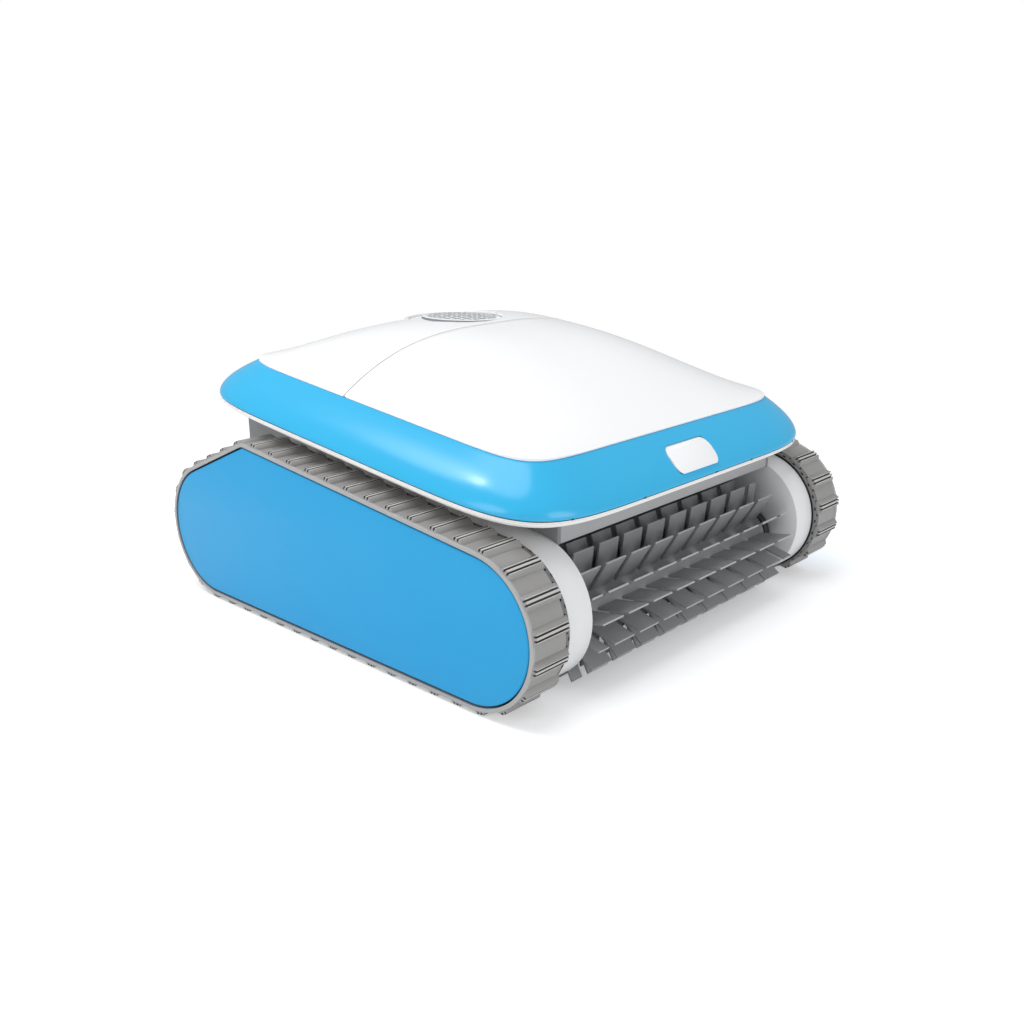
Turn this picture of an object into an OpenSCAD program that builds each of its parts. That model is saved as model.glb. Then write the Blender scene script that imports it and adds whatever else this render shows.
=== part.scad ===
// Tracked robotic pool cleaner, in millimetres.
// +Z up, X across the machine, the brush at the front towards -Y, the tracks standing on z = 0.

/* [Tracks] */
// Half of the overall width, to the outer edge of each track
half_w = 190; // [180:1:205]
// Width of each track belt
belt_w = 36; // [34:1:38]
// Thickness of the belt between its lugs
belt_t = 2; // [1.5:0.1:3.5]
// Height of the tread lugs
lug_h = 3.5; // [2:0.1:5]
// Number of tread lugs round one belt
lug_count = 43; // [36:1:48]
// Length of a lug along the belt at its root
lug_root = 10.4; // [8:0.2:14]
// Length of a lug along the belt at its top
lug_top = 5.2; // [5:0.2:8]
// Distance of the front wheel axis ahead of the middle
front_wheel_y = 140.3; // [132:0.5:150]
// Distance of the rear wheel axis behind the middle
rear_wheel_y = 140.8; // [136:0.5:150]
// Radius of the rounded ends of the side covers
end_r = 49.5; // [48:0.5:52]
// How far behind the middle the upper rear corner of the track lies
corner_y = 91.5; // [80:0.5:100]
// Height of the upper rear corner of the side cover above the wheel axes
corner_rise = 75.9; // [72:0.5:78]
// Radius of the top idler under the belt
idler_r = 11.7; // [8:0.1:13]

/* [Side frames and covers] */
// Width of each side frame
frame_w = 24; // [22:1:26]
// Wall of the side frames
frame_t = 3; // [2:0.5:4]
// Thickness of the blue side covers
cover_t = 3; // [2:0.5:3.5]

/* [Hull] */
// Height of the hull's underside above the ground
hull_z = 15; // [12:0.5:18]
// Wall of the hull
hull_t = 3; // [2:0.5:4]
// How far the hull reaches behind the middle
hull_rear = 170; // [166:1:174]
// How far the front lip of the hull lies ahead of the middle
hull_front = 160; // [156:1:166]
// Radius of the brush tunnel
tunnel_r = 57.4; // [52:0.2:60]
// Length of the suction slot across the hull
slot_w = 132; // [80:2:150]
// Width of the suction slot along the machine
slot_l = 19; // [12:1:24]
// How far the middle of the suction slot lies ahead of the middle
slot_y = 47.5; // [40:0.5:55]

/* [Canopy] */
// Height of the canopy's joint line above the ground, at the middle
canopy_z = 142.9; // [140:0.1:150]
// Slope of the canopy, rear end high
canopy_tilt = 6.588; // [4:0.1:7]
// Half width of the canopy at its joint line
canopy_a = 177.3; // [172:0.5:185]
// Half length of the canopy at its joint line
canopy_b = 180.2; // [176:0.5:186]
// Half width of the white lid
lid_a = 150.5; // [146:0.5:156]
// Half length of the lid and rear cover together
lid_b = 149; // [145:0.5:155]
// Height of the blue band
band_h = 27.7; // [25:0.1:31]
// Wall of the blue band
band_t = 3; // [2:0.5:4]
// Thickness of the white base rim
rim_t = 6.5; // [4:0.5:8]
// Rise of the domed lid above the band
dome_h = 37; // [33:0.5:42]
// Wall of the lid and the rear cover
lid_t = 2.5; // [1.5:0.1:3]
// Thickness of the lid's outer edge
lid_edge = 0.8; // [0.6:0.1:1.5]
// Where the seam between the lid and the rear cover lies behind the middle
seam_v = 22.5; // [18:0.5:24]
// Gap between the lid and the rear cover
seam_gap = 0.8; // [0.4:0.1:1.2]
// Gap between the lid and the band
lid_gap = 0.3; // [0.2:0.1:0.8]
// Distance of the lid hinge behind the seam
hinge_back = 13; // [12:0.5:15]
// Depth of the lid hinge axis under the top of the dome
hinge_drop = 10.5; // [10:0.5:13]
// Radius of the hinge pin
hinge_pin_r = 2; // [1.5:0.1:2.4]

/* [Latch button] */
// Length of the button across the machine
button_w = 50; // [40:1:60]
// Height of the button
button_h = 14; // [11:0.5:15]
// How far the button stands proud of the band
button_proud = 1; // [0.6:0.1:2]
// Height of the button's middle above the joint line
button_at = 13.1; // [12:0.1:14.5]
// Gap round the button
button_gap = 0.6; // [0.4:0.1:1]

/* [Brush] */
// Distance between the brush axis and the front wheel axis
brush_offset = 14; // [14:1:14]
// Direction of the brush axis, seen from the wheel axis
brush_dir = 237; // [230:1:245]
// Radius over the tips of the brush blades
brush_r = 43.4; // [36:0.2:43.4]
// Radius of the brush core
core_r = 15; // [13:0.5:17]
// Number of blade rows round the brush
row_count = 15; // [8:1:16]
// Number of blades in a row
blade_count = 9; // [6:1:11]
// Gap between neighbouring blades of a row
blade_gap = 6; // [2:0.5:9]
// Thickness of a blade
blade_t = 1.6; // [1.2:0.1:2.5]
// Turn of the first row from the forward direction
row_turn = 106; // [90:1:114]

/* [Filter] */
// Half width of the filter basket
basket_a = 100; // [90:1:104]
// How far the basket reaches ahead of the middle
basket_front = 84; // [78:0.5:85]
// How far the basket reaches behind the middle
basket_rear = 14; // [8:0.5:20]
// Height of the basket
basket_h = 96; // [70:1:98]
// Wall of the basket
basket_t = 2; // [1.5:0.1:3]
// Height of the rails under the basket
rail_h = 6; // [5:0.5:8]

/* [Pump and motor box] */
// Half width of the motor box
box_a = 108; // [104:1:110]
// Front face of the motor box behind the middle
box_front = 26; // [25:0.5:30]
// Rear face of the motor box behind the middle
box_rear = 163; // [162:0.5:164]
// Height of the motor box without its lid
box_h = 70; // [66:1:74]
// Wall of the motor box
box_t = 3; // [2:0.5:4]
// How far the pump axis lies behind the middle
pump_y = 62; // [60:0.5:66]
// Inner radius of the outlet duct
duct_r = 35; // [32:0.5:35.5]
// Wall of the outlet duct
duct_t = 3; // [2:0.2:3]
// Gap between the impeller blades and the duct
impeller_gap = 1; // [0.6:0.1:2]
// Number of impeller blades
impeller_blades = 4; // [3:1:6]
// Radius of the drive motors
motor_r = 18; // [15:0.5:20]
// Radius of the pump motor
pump_r = 22; // [18:0.5:24]

/* [Axles and fits] */
// Radius of the front axles
axle_r = 6; // [5:0.1:6]
// Radius of the drive shafts
shaft_r = 5; // [4:0.1:5.5]
// Radius of the idler pins
pin_r = 3; // [2.5:0.1:4]
// Running clearance of shafts and axles, in radius
run_fit = 0.05; // [0.02:0.01:0.08]
// Clearance of pieces that are fixed together
fix_fit = 0.03; // [0.02:0.01:0.05]
// Radius of the screws
screw_r = 1.9; // [1.5:0.1:2.2]

/* [Hidden] */
$fn = 64;

blue = "#3fa9e2";
white = "#f6f7f8";
shell_grey = "#dcdcdc";
belt_grey = "#b4b1af";
brush_grey = "#777777";
steel = "#b9bec4";
dark = "#3a3d40";

// Cross positions, all measured from the middle plane
belt_in = half_w - belt_w;
frame_out = belt_in - 0.5;
frame_in = frame_out - frame_w;
cover_out = half_w - 0.5;
cover_in = cover_out - cover_t;
wheel_w = 23;
wheel_in = belt_in + 2;
wheel_out = wheel_in + wheel_w;
hull_a = frame_in - 0.1;
hull_in = hull_a - hull_t;

// Belt path
belt_gap = 0.8;
wheel_z = end_r + belt_gap + belt_t + lug_h;
corner_z = wheel_z + corner_rise;
wheel_clear = 0.3;
wheel_r = end_r + belt_gap - wheel_clear;
front_c = [-front_wheel_y, wheel_z];
rear_c = [rear_wheel_y, wheel_z];
corner_v = [corner_y, corner_z];
belt_r = end_r + belt_gap + belt_t;
top_normal = angle_of(corner_v - front_c) + acos(end_r / norm(corner_v - front_c));
rear_normal = angle_of(corner_v - rear_c) - acos(end_r / norm(corner_v - rear_c));
idler_c = corner_centre(belt_gap, idler_r + wheel_clear);
lug_path_r = idler_r + wheel_clear + belt_t;
lug_corner = corner_centre(belt_gap + belt_t, lug_path_r);
path_bottom = rear_wheel_y + front_wheel_y;
path_rear_arc = belt_r * (rear_normal + 90) * PI / 180;
path_rear = norm(lug_corner + lug_path_r * unit(rear_normal) - rear_c - belt_r * unit(rear_normal));
path_corner = lug_path_r * (top_normal - rear_normal) * PI / 180;
path_top = norm(lug_corner + lug_path_r * unit(top_normal) - front_c - belt_r * unit(top_normal));
path_front_arc = belt_r * (270 - top_normal) * PI / 180;
path_length = path_bottom + path_rear_arc + path_rear + path_corner + path_top + path_front_arc;
lug_pitch = path_length / lug_count;
// Path length at which the first lug stands
lug_start = 12.8;

// Brush and its gears
gear_module = 1;
pinion_teeth = 12;
ring_teeth = pinion_teeth + 2 * brush_offset / gear_module;
brush_c = front_c + brush_offset * unit(brush_dir);
// Where the tunnel's wall comes down on the floor
tunnel_foot = brush_c[0] + sqrt(pow(tunnel_r + hull_t, 2) - pow(brush_c[1] - hull_z - hull_t, 2));
ring_r = gear_module * ring_teeth / 2;
brush_shaft_r = 4;
brush_a = frame_in + 0.5;
// Depth of the round recess in the side frame that takes the brush's end
end_recess = 1.2;
gear_in = frame_in + 11;
gear_out = gear_in + 10;
boss_h = 6;
bush_r = 6.4;

// Canopy
edge_power = 1.45;
lower_n = 6.7;
upper_n = 10.5;
lower_v = -2.6;
upper_v = -3.5;
peak_v = 6;
side_power = 3;
front_power = 2;
rear_power = 3;
lid_w = band_h + lid_gap;
dome_base = lid_w + lid_edge;
dome_top = dome_base + dome_h;
frame_top_w = 27;
top_frame_t = 3;
rim_opening = box_a + 4;
hinge_v = seam_v + hinge_back;
hinge_w = dome_top - hinge_drop;
hinge_x = 47;
hinge_ring = hinge_pin_r + 2.5;
arm_w = 8;
outline_steps = 96;
// Rows of the domed top, as shares of its half length
edge_rows = [0.9985, 0.994, 0.985, 0.97, 0.945, 0.91, 0.86, 0.78, 0.66, 0.5, 0.3];
// Front and rear edges of the rectangular hole in the base rim, and front edge of that in the top frame
rim_front = 132;
rim_rear = 158;
frame_hole_front = 122;
frame_post_x = rim_opening + 7;
frame_posts = [[-1, -138], [1, -138], [-1, 125], [1, 125]];
frame_edge = band_t + 0.4;

// Place and bend of the band's front at the button
button_share = button_at / band_h;
front_inset = canopy_b - lid_b - upper_v + lower_v;
front_v = lower_v - canopy_b + front_inset * pow(button_share, edge_power);
front_lean = front_inset * edge_power * pow(button_share, edge_power - 1) / band_h;
front_bend = pow(1 + front_lean * front_lean, 1.5) * band_h * band_h
    / (front_inset * edge_power * (edge_power - 1) * pow(button_share, edge_power - 2));

// Latch: the button's stem, the catch in its slot and the house round them
button_corner = 5.5;
stem_w = 30;
stem_h = 8;
stem_back = front_v + 35;
house_front = front_v + 16;
house_back = stem_back + 12;
catch_v = front_v + 27;
catch_w = 12;
catch_t = 2.5;
catch_barb = 0.8;
// Room in front of and behind the catch, for the button's travel and the lid's swing
catch_front = 6.5;
catch_back = 5;

// Pump column
box_z = hull_z + hull_t;
box_top = box_z + box_h;
box_lid_t = 4;
lid_top = box_top + box_lid_t;
gland_z = lid_top + 18;
gland_r = 7;
cable_r = 3.5;
motor_out = box_a - box_t - 2;
motor_len = 78;
board_x = 76;
tower_r = 12;
tower_h = 44;
grille_v = pump_y / cos(canopy_tilt) + (dome_base + dome_h * 0.92) * tan(canopy_tilt);
grille_top = world_z(grille_v, dome_w(0, grille_v)) - 0.3;
grille_r = duct_r + 4.6;
grille_hole = grille_r + 0.4;
grille_ring_h = 6.5;
grille_t = 3;
// Radius of the grille's crowned top, its net window to the right of the middle, and the finger hollow
cap_r = 300;
net_r = 29;
net_x = 10;
net_pitch = 5.7;
net_slit = 1.3;
net_groove = 1;
hollow_r = 37;
hollow_gap = 4;
hollow_deep = 1.8;
duct_low = lid_top + 34;
duct_top = grille_top - grille_ring_h - 0.3;
impeller_z = lid_top + tower_h + 8;
impeller_h = 18;
pump_shaft_r = 3;

// Filter
basket_z = box_z + rail_h;
basket_top = basket_z + basket_h;
slot_c = -slot_y;
flap_pin_r = 1.5;
flap_y = slot_c + slot_l / 2 + 5;
flap_z = basket_z + basket_t + 3.2;

// Places of screws
cover_posts = [[-0.5 * front_wheel_y, wheel_z + 4], [20, wheel_z + 39],
    [0.46 * rear_wheel_y, wheel_z - 16]];
post_r = 5;
screw_gap = 0.4;
rim_post_x = hull_in - 8;
rim_post_y = [-100, 100];
rim_posts = [for (s = [-1, 1]) for (y = rim_post_y) [s, y]];
rim_post_r = 8.5;
rim_post_h = 26;
float_gap = 6;
float_h = 16;
float_l = 200;
band_post_x = canopy_a - 17;
band_posts = [[-1, -120], [1, -120], [-1, 120], [1, 120]];
box_screw_x = box_a - box_t - 3;
box_screw_y = [box_front + 5, (box_front + box_rear) / 2, box_rear - 5];

function unit(a) = [cos(a), sin(a)];
function angle_of(p) = atan2(p[1], p[0]);

// Centre of a corner circle that touches both upper lines of the outline grown by g
function corner_centre(g, r) =
    corner_v - (r - g) / cos((top_normal - rear_normal) / 2) * unit((top_normal + rear_normal) / 2);

// Place on the outer belt surface at the path length s: [y, z, angle of the outward normal]
function on_belt(s) =
    let (a = s, b = a - path_bottom, c = b - path_rear_arc, d = c - path_rear,
        e = d - path_corner, f = e - path_top)
    b < 0 ? [-front_wheel_y + a, wheel_z - belt_r, -90]
    : c < 0 ? arc_place(rear_c, belt_r, -90 + b / belt_r * 180 / PI)
    : d < 0 ? line_place(rear_c + belt_r * unit(rear_normal), rear_normal, c)
    : e < 0 ? arc_place(lug_corner, lug_path_r, rear_normal + d / lug_path_r * 180 / PI)
    : f < 0 ? line_place(lug_corner + lug_path_r * unit(top_normal), top_normal, e)
    : arc_place(front_c, belt_r, top_normal + f / belt_r * 180 / PI);
function arc_place(c, r, a) = [c[0] + r * cos(a), c[1] + r * sin(a), a];
function line_place(p, a, s) = [p[0] - s * sin(a), p[1] + s * cos(a), a];
function wrap(s) = s - path_length * floor(s / path_length);

// Canopy outline: inset, middle and squareness of the band at the height w
function edge_share(w) = pow(max(w, 0) / band_h, edge_power);
function band_a(w) = canopy_a - (canopy_a - lid_a) * edge_share(w);
function band_b(w) = canopy_b - (canopy_b - lid_b) * edge_share(w);
function band_v(w) = lower_v + (upper_v - lower_v) * edge_share(w);
function band_n(w) = lower_n + (upper_n - lower_n) * max(w, 0) / band_h;
function power(t, n) = sign(t) * pow(abs(t), n);
function outline(a, b, v, n) = [for (i = [0 : outline_steps - 1])
    let (t = 360 * (i + 0.5) / outline_steps)
    [a * power(cos(t), 2 / n), v + b * power(sin(t), 2 / n)]];

// Height of the domed top and of its underside, half width of the lid, and world places
function along(v) = v < peak_v ? pow((peak_v - v) / (peak_v - upper_v + lid_b), front_power)
    : pow((v - peak_v) / (upper_v + lid_b - peak_v), rear_power);
function dome_w(x, v) = dome_base + dome_h * (1 - pow(min(abs(x) / lid_a, 1), side_power)) * (1 - along(v));
function under_w(x, v) = max(lid_w, dome_w(x, v) - lid_t);
function lid_half(v) = lid_a * pow(max(1 - pow(abs(v - upper_v) / lid_b, upper_n), 0), 1 / upper_n);
function world_y(v, w) = v * cos(canopy_tilt) - w * sin(canopy_tilt);
function world_z(v, w) = canopy_z + v * sin(canopy_tilt) + w * cos(canopy_tilt);

module in_canopy() {
    translate([0, 0, canopy_z]) rotate([canopy_tilt, 0, 0]) children();
}

module along_x(x0, x1) {
    translate([x0, 0, 0]) rotate([90, 0, 90]) linear_extrude(x1 - x0) children();
}

// A shape built round its own Z axis, laid along +X from x0 at the place c in the side view
module round_x(c, x0) {
    translate([x0, c[0], c[1]]) rotate([90, 0, 90]) children();
}

module rod_x(c, r, x0, x1) {
    round_x(c, x0) cylinder(r = r, h = x1 - x0);
}

module on_left() {
    mirror([1, 0, 0]) children();
}

module both_sides() {
    children();
    on_left() children();
}

// Side outline: two round ends and one upper corner, grown by g, with the corner radius r
module loop_2d(g, r) {
    corner = corner_centre(g, r);
    end = end_r + g;
    translate(front_c) circle(end);
    translate(rear_c) circle(end);
    translate(corner) circle(r);
    polygon([front_c - [0, end], rear_c - [0, end], rear_c + end * unit(rear_normal),
        corner + r * unit(rear_normal), corner + r * unit(top_normal), front_c + end * unit(top_normal)]);
}

// Involute gear outline with a tooth on the first axis; grow widens each tooth by that angle
module gear_2d(teeth, tip_r, root_r, grow) {
    pitch_r = gear_module * teeth / 2;
    base_r = pitch_r * cos(20);
    steps = 4;
    function inv(r) = r <= base_r ? 0 : tan(acos(base_r / r)) * 180 / PI - acos(base_r / r);
    function half(r) = 90 / teeth + inv(pitch_r) - inv(r) + grow;
    polygon([for (i = [0 : teeth - 1]) for (j = [-steps : steps])
        let (r = root_r + (tip_r - root_r) * (1 - max(abs(j) - 1, 0) / (steps - 1)),
            a = 360 * i / teeth + (j < 0 ? -1 : j > 0 ? 1 : 0) * half(r))
        r * unit(a)]);
}

// ---------------------------------------------------------------- hull

// Side profile of the hull, drawn in by inset and open at the top
module hull_side_2d(inset) {
    low = hull_z + inset;
    back = hull_rear - inset;
    front = -hull_front + inset;
    rise = inset > 0 ? 20 : 10;
    difference() {
        polygon([[front, low], [back - 3, low], [back, low + 4],
            [back, plane_z(back, rise)], [front, plane_z(front, rise)]]);
        translate(brush_c) circle(tunnel_r + inset);
    }
}

// Side profile of the hull's wall, without the side walls
module hull_wall_2d() {
    difference() {
        hull_side_2d(0);
        hull_side_2d(hull_t);
    }
}

function plane_z(y, w) = canopy_z + y * tan(canopy_tilt) + w / cos(canopy_tilt);

module below_rim() {
    intersection() {
        children();
        in_canopy() translate([-half_w, -2 * half_w, -2 * half_w - rim_t])
            cube([2 * half_w, 4 * half_w, 2 * half_w]);
    }
}

// Arched wall over the brush, with the front wall on it
module brush_tunnel() color(shell_grey) below_rim() along_x(-hull_in, hull_in) intersection() {
    hull_wall_2d();
    difference() {
        translate([-half_w, 0]) square([half_w, 2 * canopy_z]);
        translate([tunnel_foot, 0]) square([hull_rear, box_z]);
    }
}

// Floor with the rails under the basket and the collar round the suction slot
module hull_floor() color(shell_grey) difference() {
    union() {
        along_x(-hull_in, hull_in) intersection() {
            hull_wall_2d();
            translate([tunnel_foot, 0]) square([hull_rear - hull_t - tunnel_foot, box_z + 4]);
            union() {
                translate([tunnel_foot, 0]) square([hull_rear, box_z]);
                square([hull_rear, 2 * box_z]);
            }
        }
        for (s = [-1, 1])
            translate([s * (basket_a - 12) - 2, -basket_front, box_z])
                cube([4, basket_front + basket_rear, rail_h]);
        translate([-slot_w / 2 - 2, slot_c - slot_l / 2 - 2, box_z]) cube([slot_w + 4, slot_l + 4, rail_h]);
    }
    translate([-slot_w / 2, slot_c - slot_l / 2, hull_z - 1]) cube([slot_w, slot_l, rail_h + hull_t + 2]);
}

// Side walls with the posts that the base rim is screwed to
module hull_sides() color(shell_grey) below_rim() both_sides() difference() {
    union() {
        along_x(hull_in, hull_a) hull_side_2d(0);
        for (y = rim_post_y)
            translate([rim_post_x, y, plane_z(y, -rim_t) - rim_post_h])
                cylinder(r = rim_post_r, h = rim_post_h + 4);
    }
    rod_x(rear_c, bush_r + 3, hull_in - 1, hull_a + 1);
    for (p = cover_posts) rod_x(p, screw_r + screw_gap, hull_in - 1, hull_a + 1);
    for (y = rim_post_y)
        translate([rim_post_x, y, plane_z(y, -rim_t) - 18]) cylinder(r = screw_r + fix_fit, h = 20);
}

module hull_back() color(shell_grey) below_rim() difference() {
    along_x(-hull_in, hull_in) intersection() {
        hull_wall_2d();
        translate([hull_rear - hull_t, 0]) square([2 * hull_t, 2 * canopy_z]);
    }
    translate([0, hull_rear + 1, gland_z]) rotate([90, 0, 0]) cylinder(r = gland_r, h = hull_t + 2);
}

module cable_gland() color(dark) translate([0, hull_rear, gland_z]) rotate([90, 0, 0]) difference() {
    union() {
        translate([0, 0, -8]) cylinder(r = gland_r + 3, h = 8, $fn = 6);
        translate([0, 0, 0]) cylinder(r = gland_r - fix_fit, h = hull_t + 5);
        translate([0, 0, hull_t]) cylinder(r = gland_r + 3, h = 4, $fn = 6);
    }
    translate([0, 0, -9]) cylinder(r = cable_r, h = hull_t + 20);
}

module side_screws() color(steel) both_sides() for (p = cover_posts) {
    rod_x(p, screw_r, hull_in - 0.5, frame_in + frame_t + 16);
    rod_x(p, 2 * screw_r, hull_in - 2.6, hull_in);
}

// ---------------------------------------------------------------- side frames and covers

module side_frame() {
    inner = frame_in + frame_t;
    difference() {
        union() {
            difference() {
                along_x(frame_in, frame_out) loop_2d(-0.5, 6);
                along_x(inner, frame_out + 1) loop_2d(-0.5 - frame_t, 6);
            }
            rod_x(front_c, axle_r + 3, inner - 1, inner + boss_h);
            rod_x(brush_c, bush_r + 2, inner - 1, inner + boss_h);
            rod_x(rear_c, bush_r + 4, inner - 1, inner + boss_h);
            rod_x(idler_c, pin_r + 3, inner - 1, frame_out - 1);
        }
        rod_x(brush_c, core_r + 4, frame_in - 1, frame_in + end_recess);
        rod_x(front_c, axle_r + fix_fit, frame_in - 1, frame_out);
        rod_x(brush_c, bush_r + fix_fit, frame_in - 1, frame_out);
        rod_x(rear_c, bush_r + 1 + fix_fit, frame_in - 1, frame_out);
        rod_x(idler_c, pin_r + fix_fit, frame_in - 1, frame_out);
        for (p = cover_posts) rod_x(p, screw_r + screw_gap, frame_in - 1, inner + 1);
    }
}

module left_side_frame() color(shell_grey) on_left() side_frame();
module right_side_frame() color(shell_grey) side_frame();

module side_cover() {
    difference() {
        union() {
            along_x(cover_in, cover_out) loop_2d(0, 3);
            for (p = cover_posts) rod_x(p, post_r, frame_in + frame_t, cover_in + 1);
        }
        for (p = cover_posts) rod_x(p, screw_r + fix_fit, frame_in + frame_t - 1, frame_in + frame_t + 20);
    }
}

module left_side_cover() color(blue) on_left() side_cover();
module right_side_cover() color(blue) side_cover();

// ---------------------------------------------------------------- tracks

// Side view of a lug: a ridge with sloping sides and three ribs along its crowned top
module lug_2d() {
    foot = lug_root / 2;
    end = lug_top / 2;
    rib = 1.6;
    groove = 1.3;
    deep = lug_h - 1.6;
    side = lug_h - 0.1;
    polygon([[-foot, -0.6], [-foot, 0], [-end, side], [-rib / 2 - groove, side],
        [-rib / 2 - groove + 0.3, deep], [-rib / 2 - 0.3, deep], [-rib / 2, lug_h], [rib / 2, lug_h],
        [rib / 2 + 0.3, deep], [rib / 2 + groove - 0.3, deep], [rib / 2 + groove, side], [end, side],
        [foot, 0], [foot, -0.6]]);
}

module track() {
    difference() {
        along_x(belt_in, half_w) loop_2d(belt_gap + belt_t, lug_path_r);
        along_x(belt_in - 1, half_w + 1) loop_2d(belt_gap, idler_r + wheel_clear);
    }
    for (i = [0 : lug_count - 1]) {
        p = on_belt(wrap(lug_start + i * lug_pitch));
        along_x(belt_in + 3, half_w - 0.3) translate([p[0], p[1]]) rotate(p[2] - 90) lug_2d();
    }
}

module left_track() color(belt_grey) on_left() track();
module right_track() color(belt_grey) track();

module wheel_body(bore, hub) {
    web = 5;
    difference() {
        cylinder(r = wheel_r, h = wheel_w);
        for (z = [-1, (wheel_w + web) / 2]) translate([0, 0, z]) difference() {
            cylinder(r = wheel_r - 4, h = (wheel_w - web) / 2 + 1);
            translate([0, 0, -1]) cylinder(r = hub, h = wheel_w);
        }
        for (a = [0 : 60 : 300]) rotate(a) translate([(wheel_r + hub) / 2, 0, -1])
            cylinder(r = 8, h = wheel_w + 2);
        translate([0, 0, -1]) cylinder(r = bore, h = wheel_w + 2);
    }
}

module drive_wheel() round_x(rear_c, wheel_in) wheel_body(shaft_r + fix_fit, shaft_r + 6);

module left_drive_wheel() color(dark) on_left() drive_wheel();
module right_drive_wheel() color(dark) drive_wheel();

module drive_shaft() rod_x(rear_c, shaft_r, box_a - box_t - 12, wheel_out + 0.2);
module left_drive_shaft() color(steel) on_left() drive_shaft();
module right_drive_shaft() color(steel) drive_shaft();

module front_wheel() round_x(front_c, wheel_in) wheel_body(axle_r + run_fit, axle_r + 5);

// Front wheel with the inner ring gear that turns the brush pinion
module left_front_wheel() color(dark) on_left() {
    front_wheel();
    difference() {
        rod_x(front_c, ring_r + 4, gear_in - 0.5, wheel_in + wheel_w / 2);
        rod_x(front_c, ring_r - 1, gear_out, wheel_in + wheel_w);
        round_x(front_c, gear_in - 1) linear_extrude(gear_out - gear_in + 2)
            rotate(brush_dir) gear_2d(ring_teeth, ring_r + 1.25 * gear_module, ring_r - gear_module, 0.25);
    }
}
module right_front_wheel() color(dark) front_wheel();

module front_axles() color(steel) both_sides()
    rod_x(front_c, axle_r, frame_in + end_recess + 0.4, wheel_out + 1.6);

module top_idler() {
    difference() {
        rod_x(idler_c, idler_r, wheel_in, wheel_out);
        rod_x(idler_c, pin_r + run_fit, wheel_in - 1, wheel_out + 1);
        for (x = [wheel_in - 1, wheel_out - 7]) difference() {
            rod_x(idler_c, idler_r - 2.5, x, x + 8);
            rod_x(idler_c, pin_r + 2.5, x - 1, x + 9);
        }
    }
}
module left_top_idler() color(dark) on_left() top_idler();
module right_top_idler() color(dark) top_idler();

module idler_pins() color(steel) both_sides() rod_x(idler_c, pin_r, frame_in + 0.3, wheel_out + 1.6);

module clip(c, r) {
    difference() {
        rod_x(c, r + 3, wheel_out + 0.3, wheel_out + 1.2);
        rod_x(c, r + fix_fit, wheel_out, wheel_out + 2);
    }
}

module axle_clips() color(steel) both_sides() {
    clip(front_c, axle_r);
    clip(idler_c, pin_r);
}

module bush(c, r_out, r_in, x0, x1) {
    difference() {
        union() {
            rod_x(c, r_out, x0, x1);
            rod_x(c, r_out + 1, x1, x1 + 1);
        }
        rod_x(c, r_in, x0 - 1, x1 + 2);
    }
}

module bushes() color(white) both_sides() {
    bush(rear_c, bush_r + 1, shaft_r + run_fit, frame_in, frame_in + frame_t + boss_h);
    bush(brush_c, bush_r, brush_shaft_r + run_fit, frame_in + end_recess, frame_in + frame_t + boss_h);
}

// ---------------------------------------------------------------- brush

module brush_core() color(dark) difference() {
    rod_x(brush_c, core_r, -brush_a + 6, brush_a - 6);
    rod_x(brush_c, core_r - 3, -brush_a, brush_a);
}

// One row: a comb of blades, every second row shifted by half a blade
module blade_row(shift) {
    pitch = 2 * (brush_a - 7) / blade_count;
    base = core_r + 3;
    difference() {
        translate([core_r + 1, -blade_t / 2, -brush_a + 7])
            cube([brush_r - core_r - 1, blade_t, 2 * (brush_a - 7)]);
        for (i = [0 : blade_count])
            translate([base, -blade_t, -brush_a + 7 + (i + shift) * pitch - blade_gap / 2])
                cube([brush_r, 2 * blade_t, blade_gap]);
    }
}

module brush_sleeve() color(brush_grey) round_x(brush_c, 0) {
    difference() {
        translate([0, 0, -brush_a + 6.5]) cylinder(r = core_r + 2, h = 2 * (brush_a - 6.5));
        translate([0, 0, -brush_a]) cylinder(r = core_r + fix_fit, h = 2 * brush_a);
    }
    for (i = [0 : row_count - 1])
        rotate(180 - row_turn + 360 * i / row_count) blade_row(i % 2 == 0 ? 0 : 0.5);
}

module brush_end(reach) {
    rod_x(brush_c, core_r + 2.5, brush_a - 6, brush_a);
    rod_x(brush_c, core_r - 3 - fix_fit, brush_a - 20, brush_a - 5);
    rod_x(brush_c, brush_shaft_r, brush_a - 1, reach);
}

module left_brush_end() color(dark) on_left() {
    brush_end(gear_out);
    round_x(brush_c, gear_in) linear_extrude(gear_out - gear_in - 0.5)
        rotate(brush_dir) gear_2d(pinion_teeth, gear_module * (pinion_teeth / 2 + 1),
            gear_module * (pinion_teeth / 2 - 1.25), -0.8);
}
module right_brush_end() color(dark) brush_end(frame_in + frame_t + boss_h + 2);

// ---------------------------------------------------------------- canopy

module base_rim() color(white) difference() {
    in_canopy() difference() {
        union() {
            translate([0, 0, -rim_t]) linear_extrude(2.5)
                polygon(outline(canopy_a - 1.6, canopy_b - 1.6, lower_v, lower_n));
            translate([0, 0, -rim_t + 2]) linear_extrude(rim_t - 2)
                polygon(outline(canopy_a, canopy_b, lower_v, lower_n));
        }
        translate([-rim_opening, -rim_front, -rim_t - 1])
            cube([2 * rim_opening, rim_front + rim_rear, rim_t + 2]);
        for (p = band_posts) translate([p[0] * band_post_x, p[1], -rim_t - 1])
            cylinder(r = screw_r + screw_gap, h = rim_t + 2);
    }
    for (p = rim_posts)
        translate([p[0] * rim_post_x, p[1], plane_z(p[1], -rim_t) - 5])
            cylinder(r = screw_r + screw_gap, h = 20);
}

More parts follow.
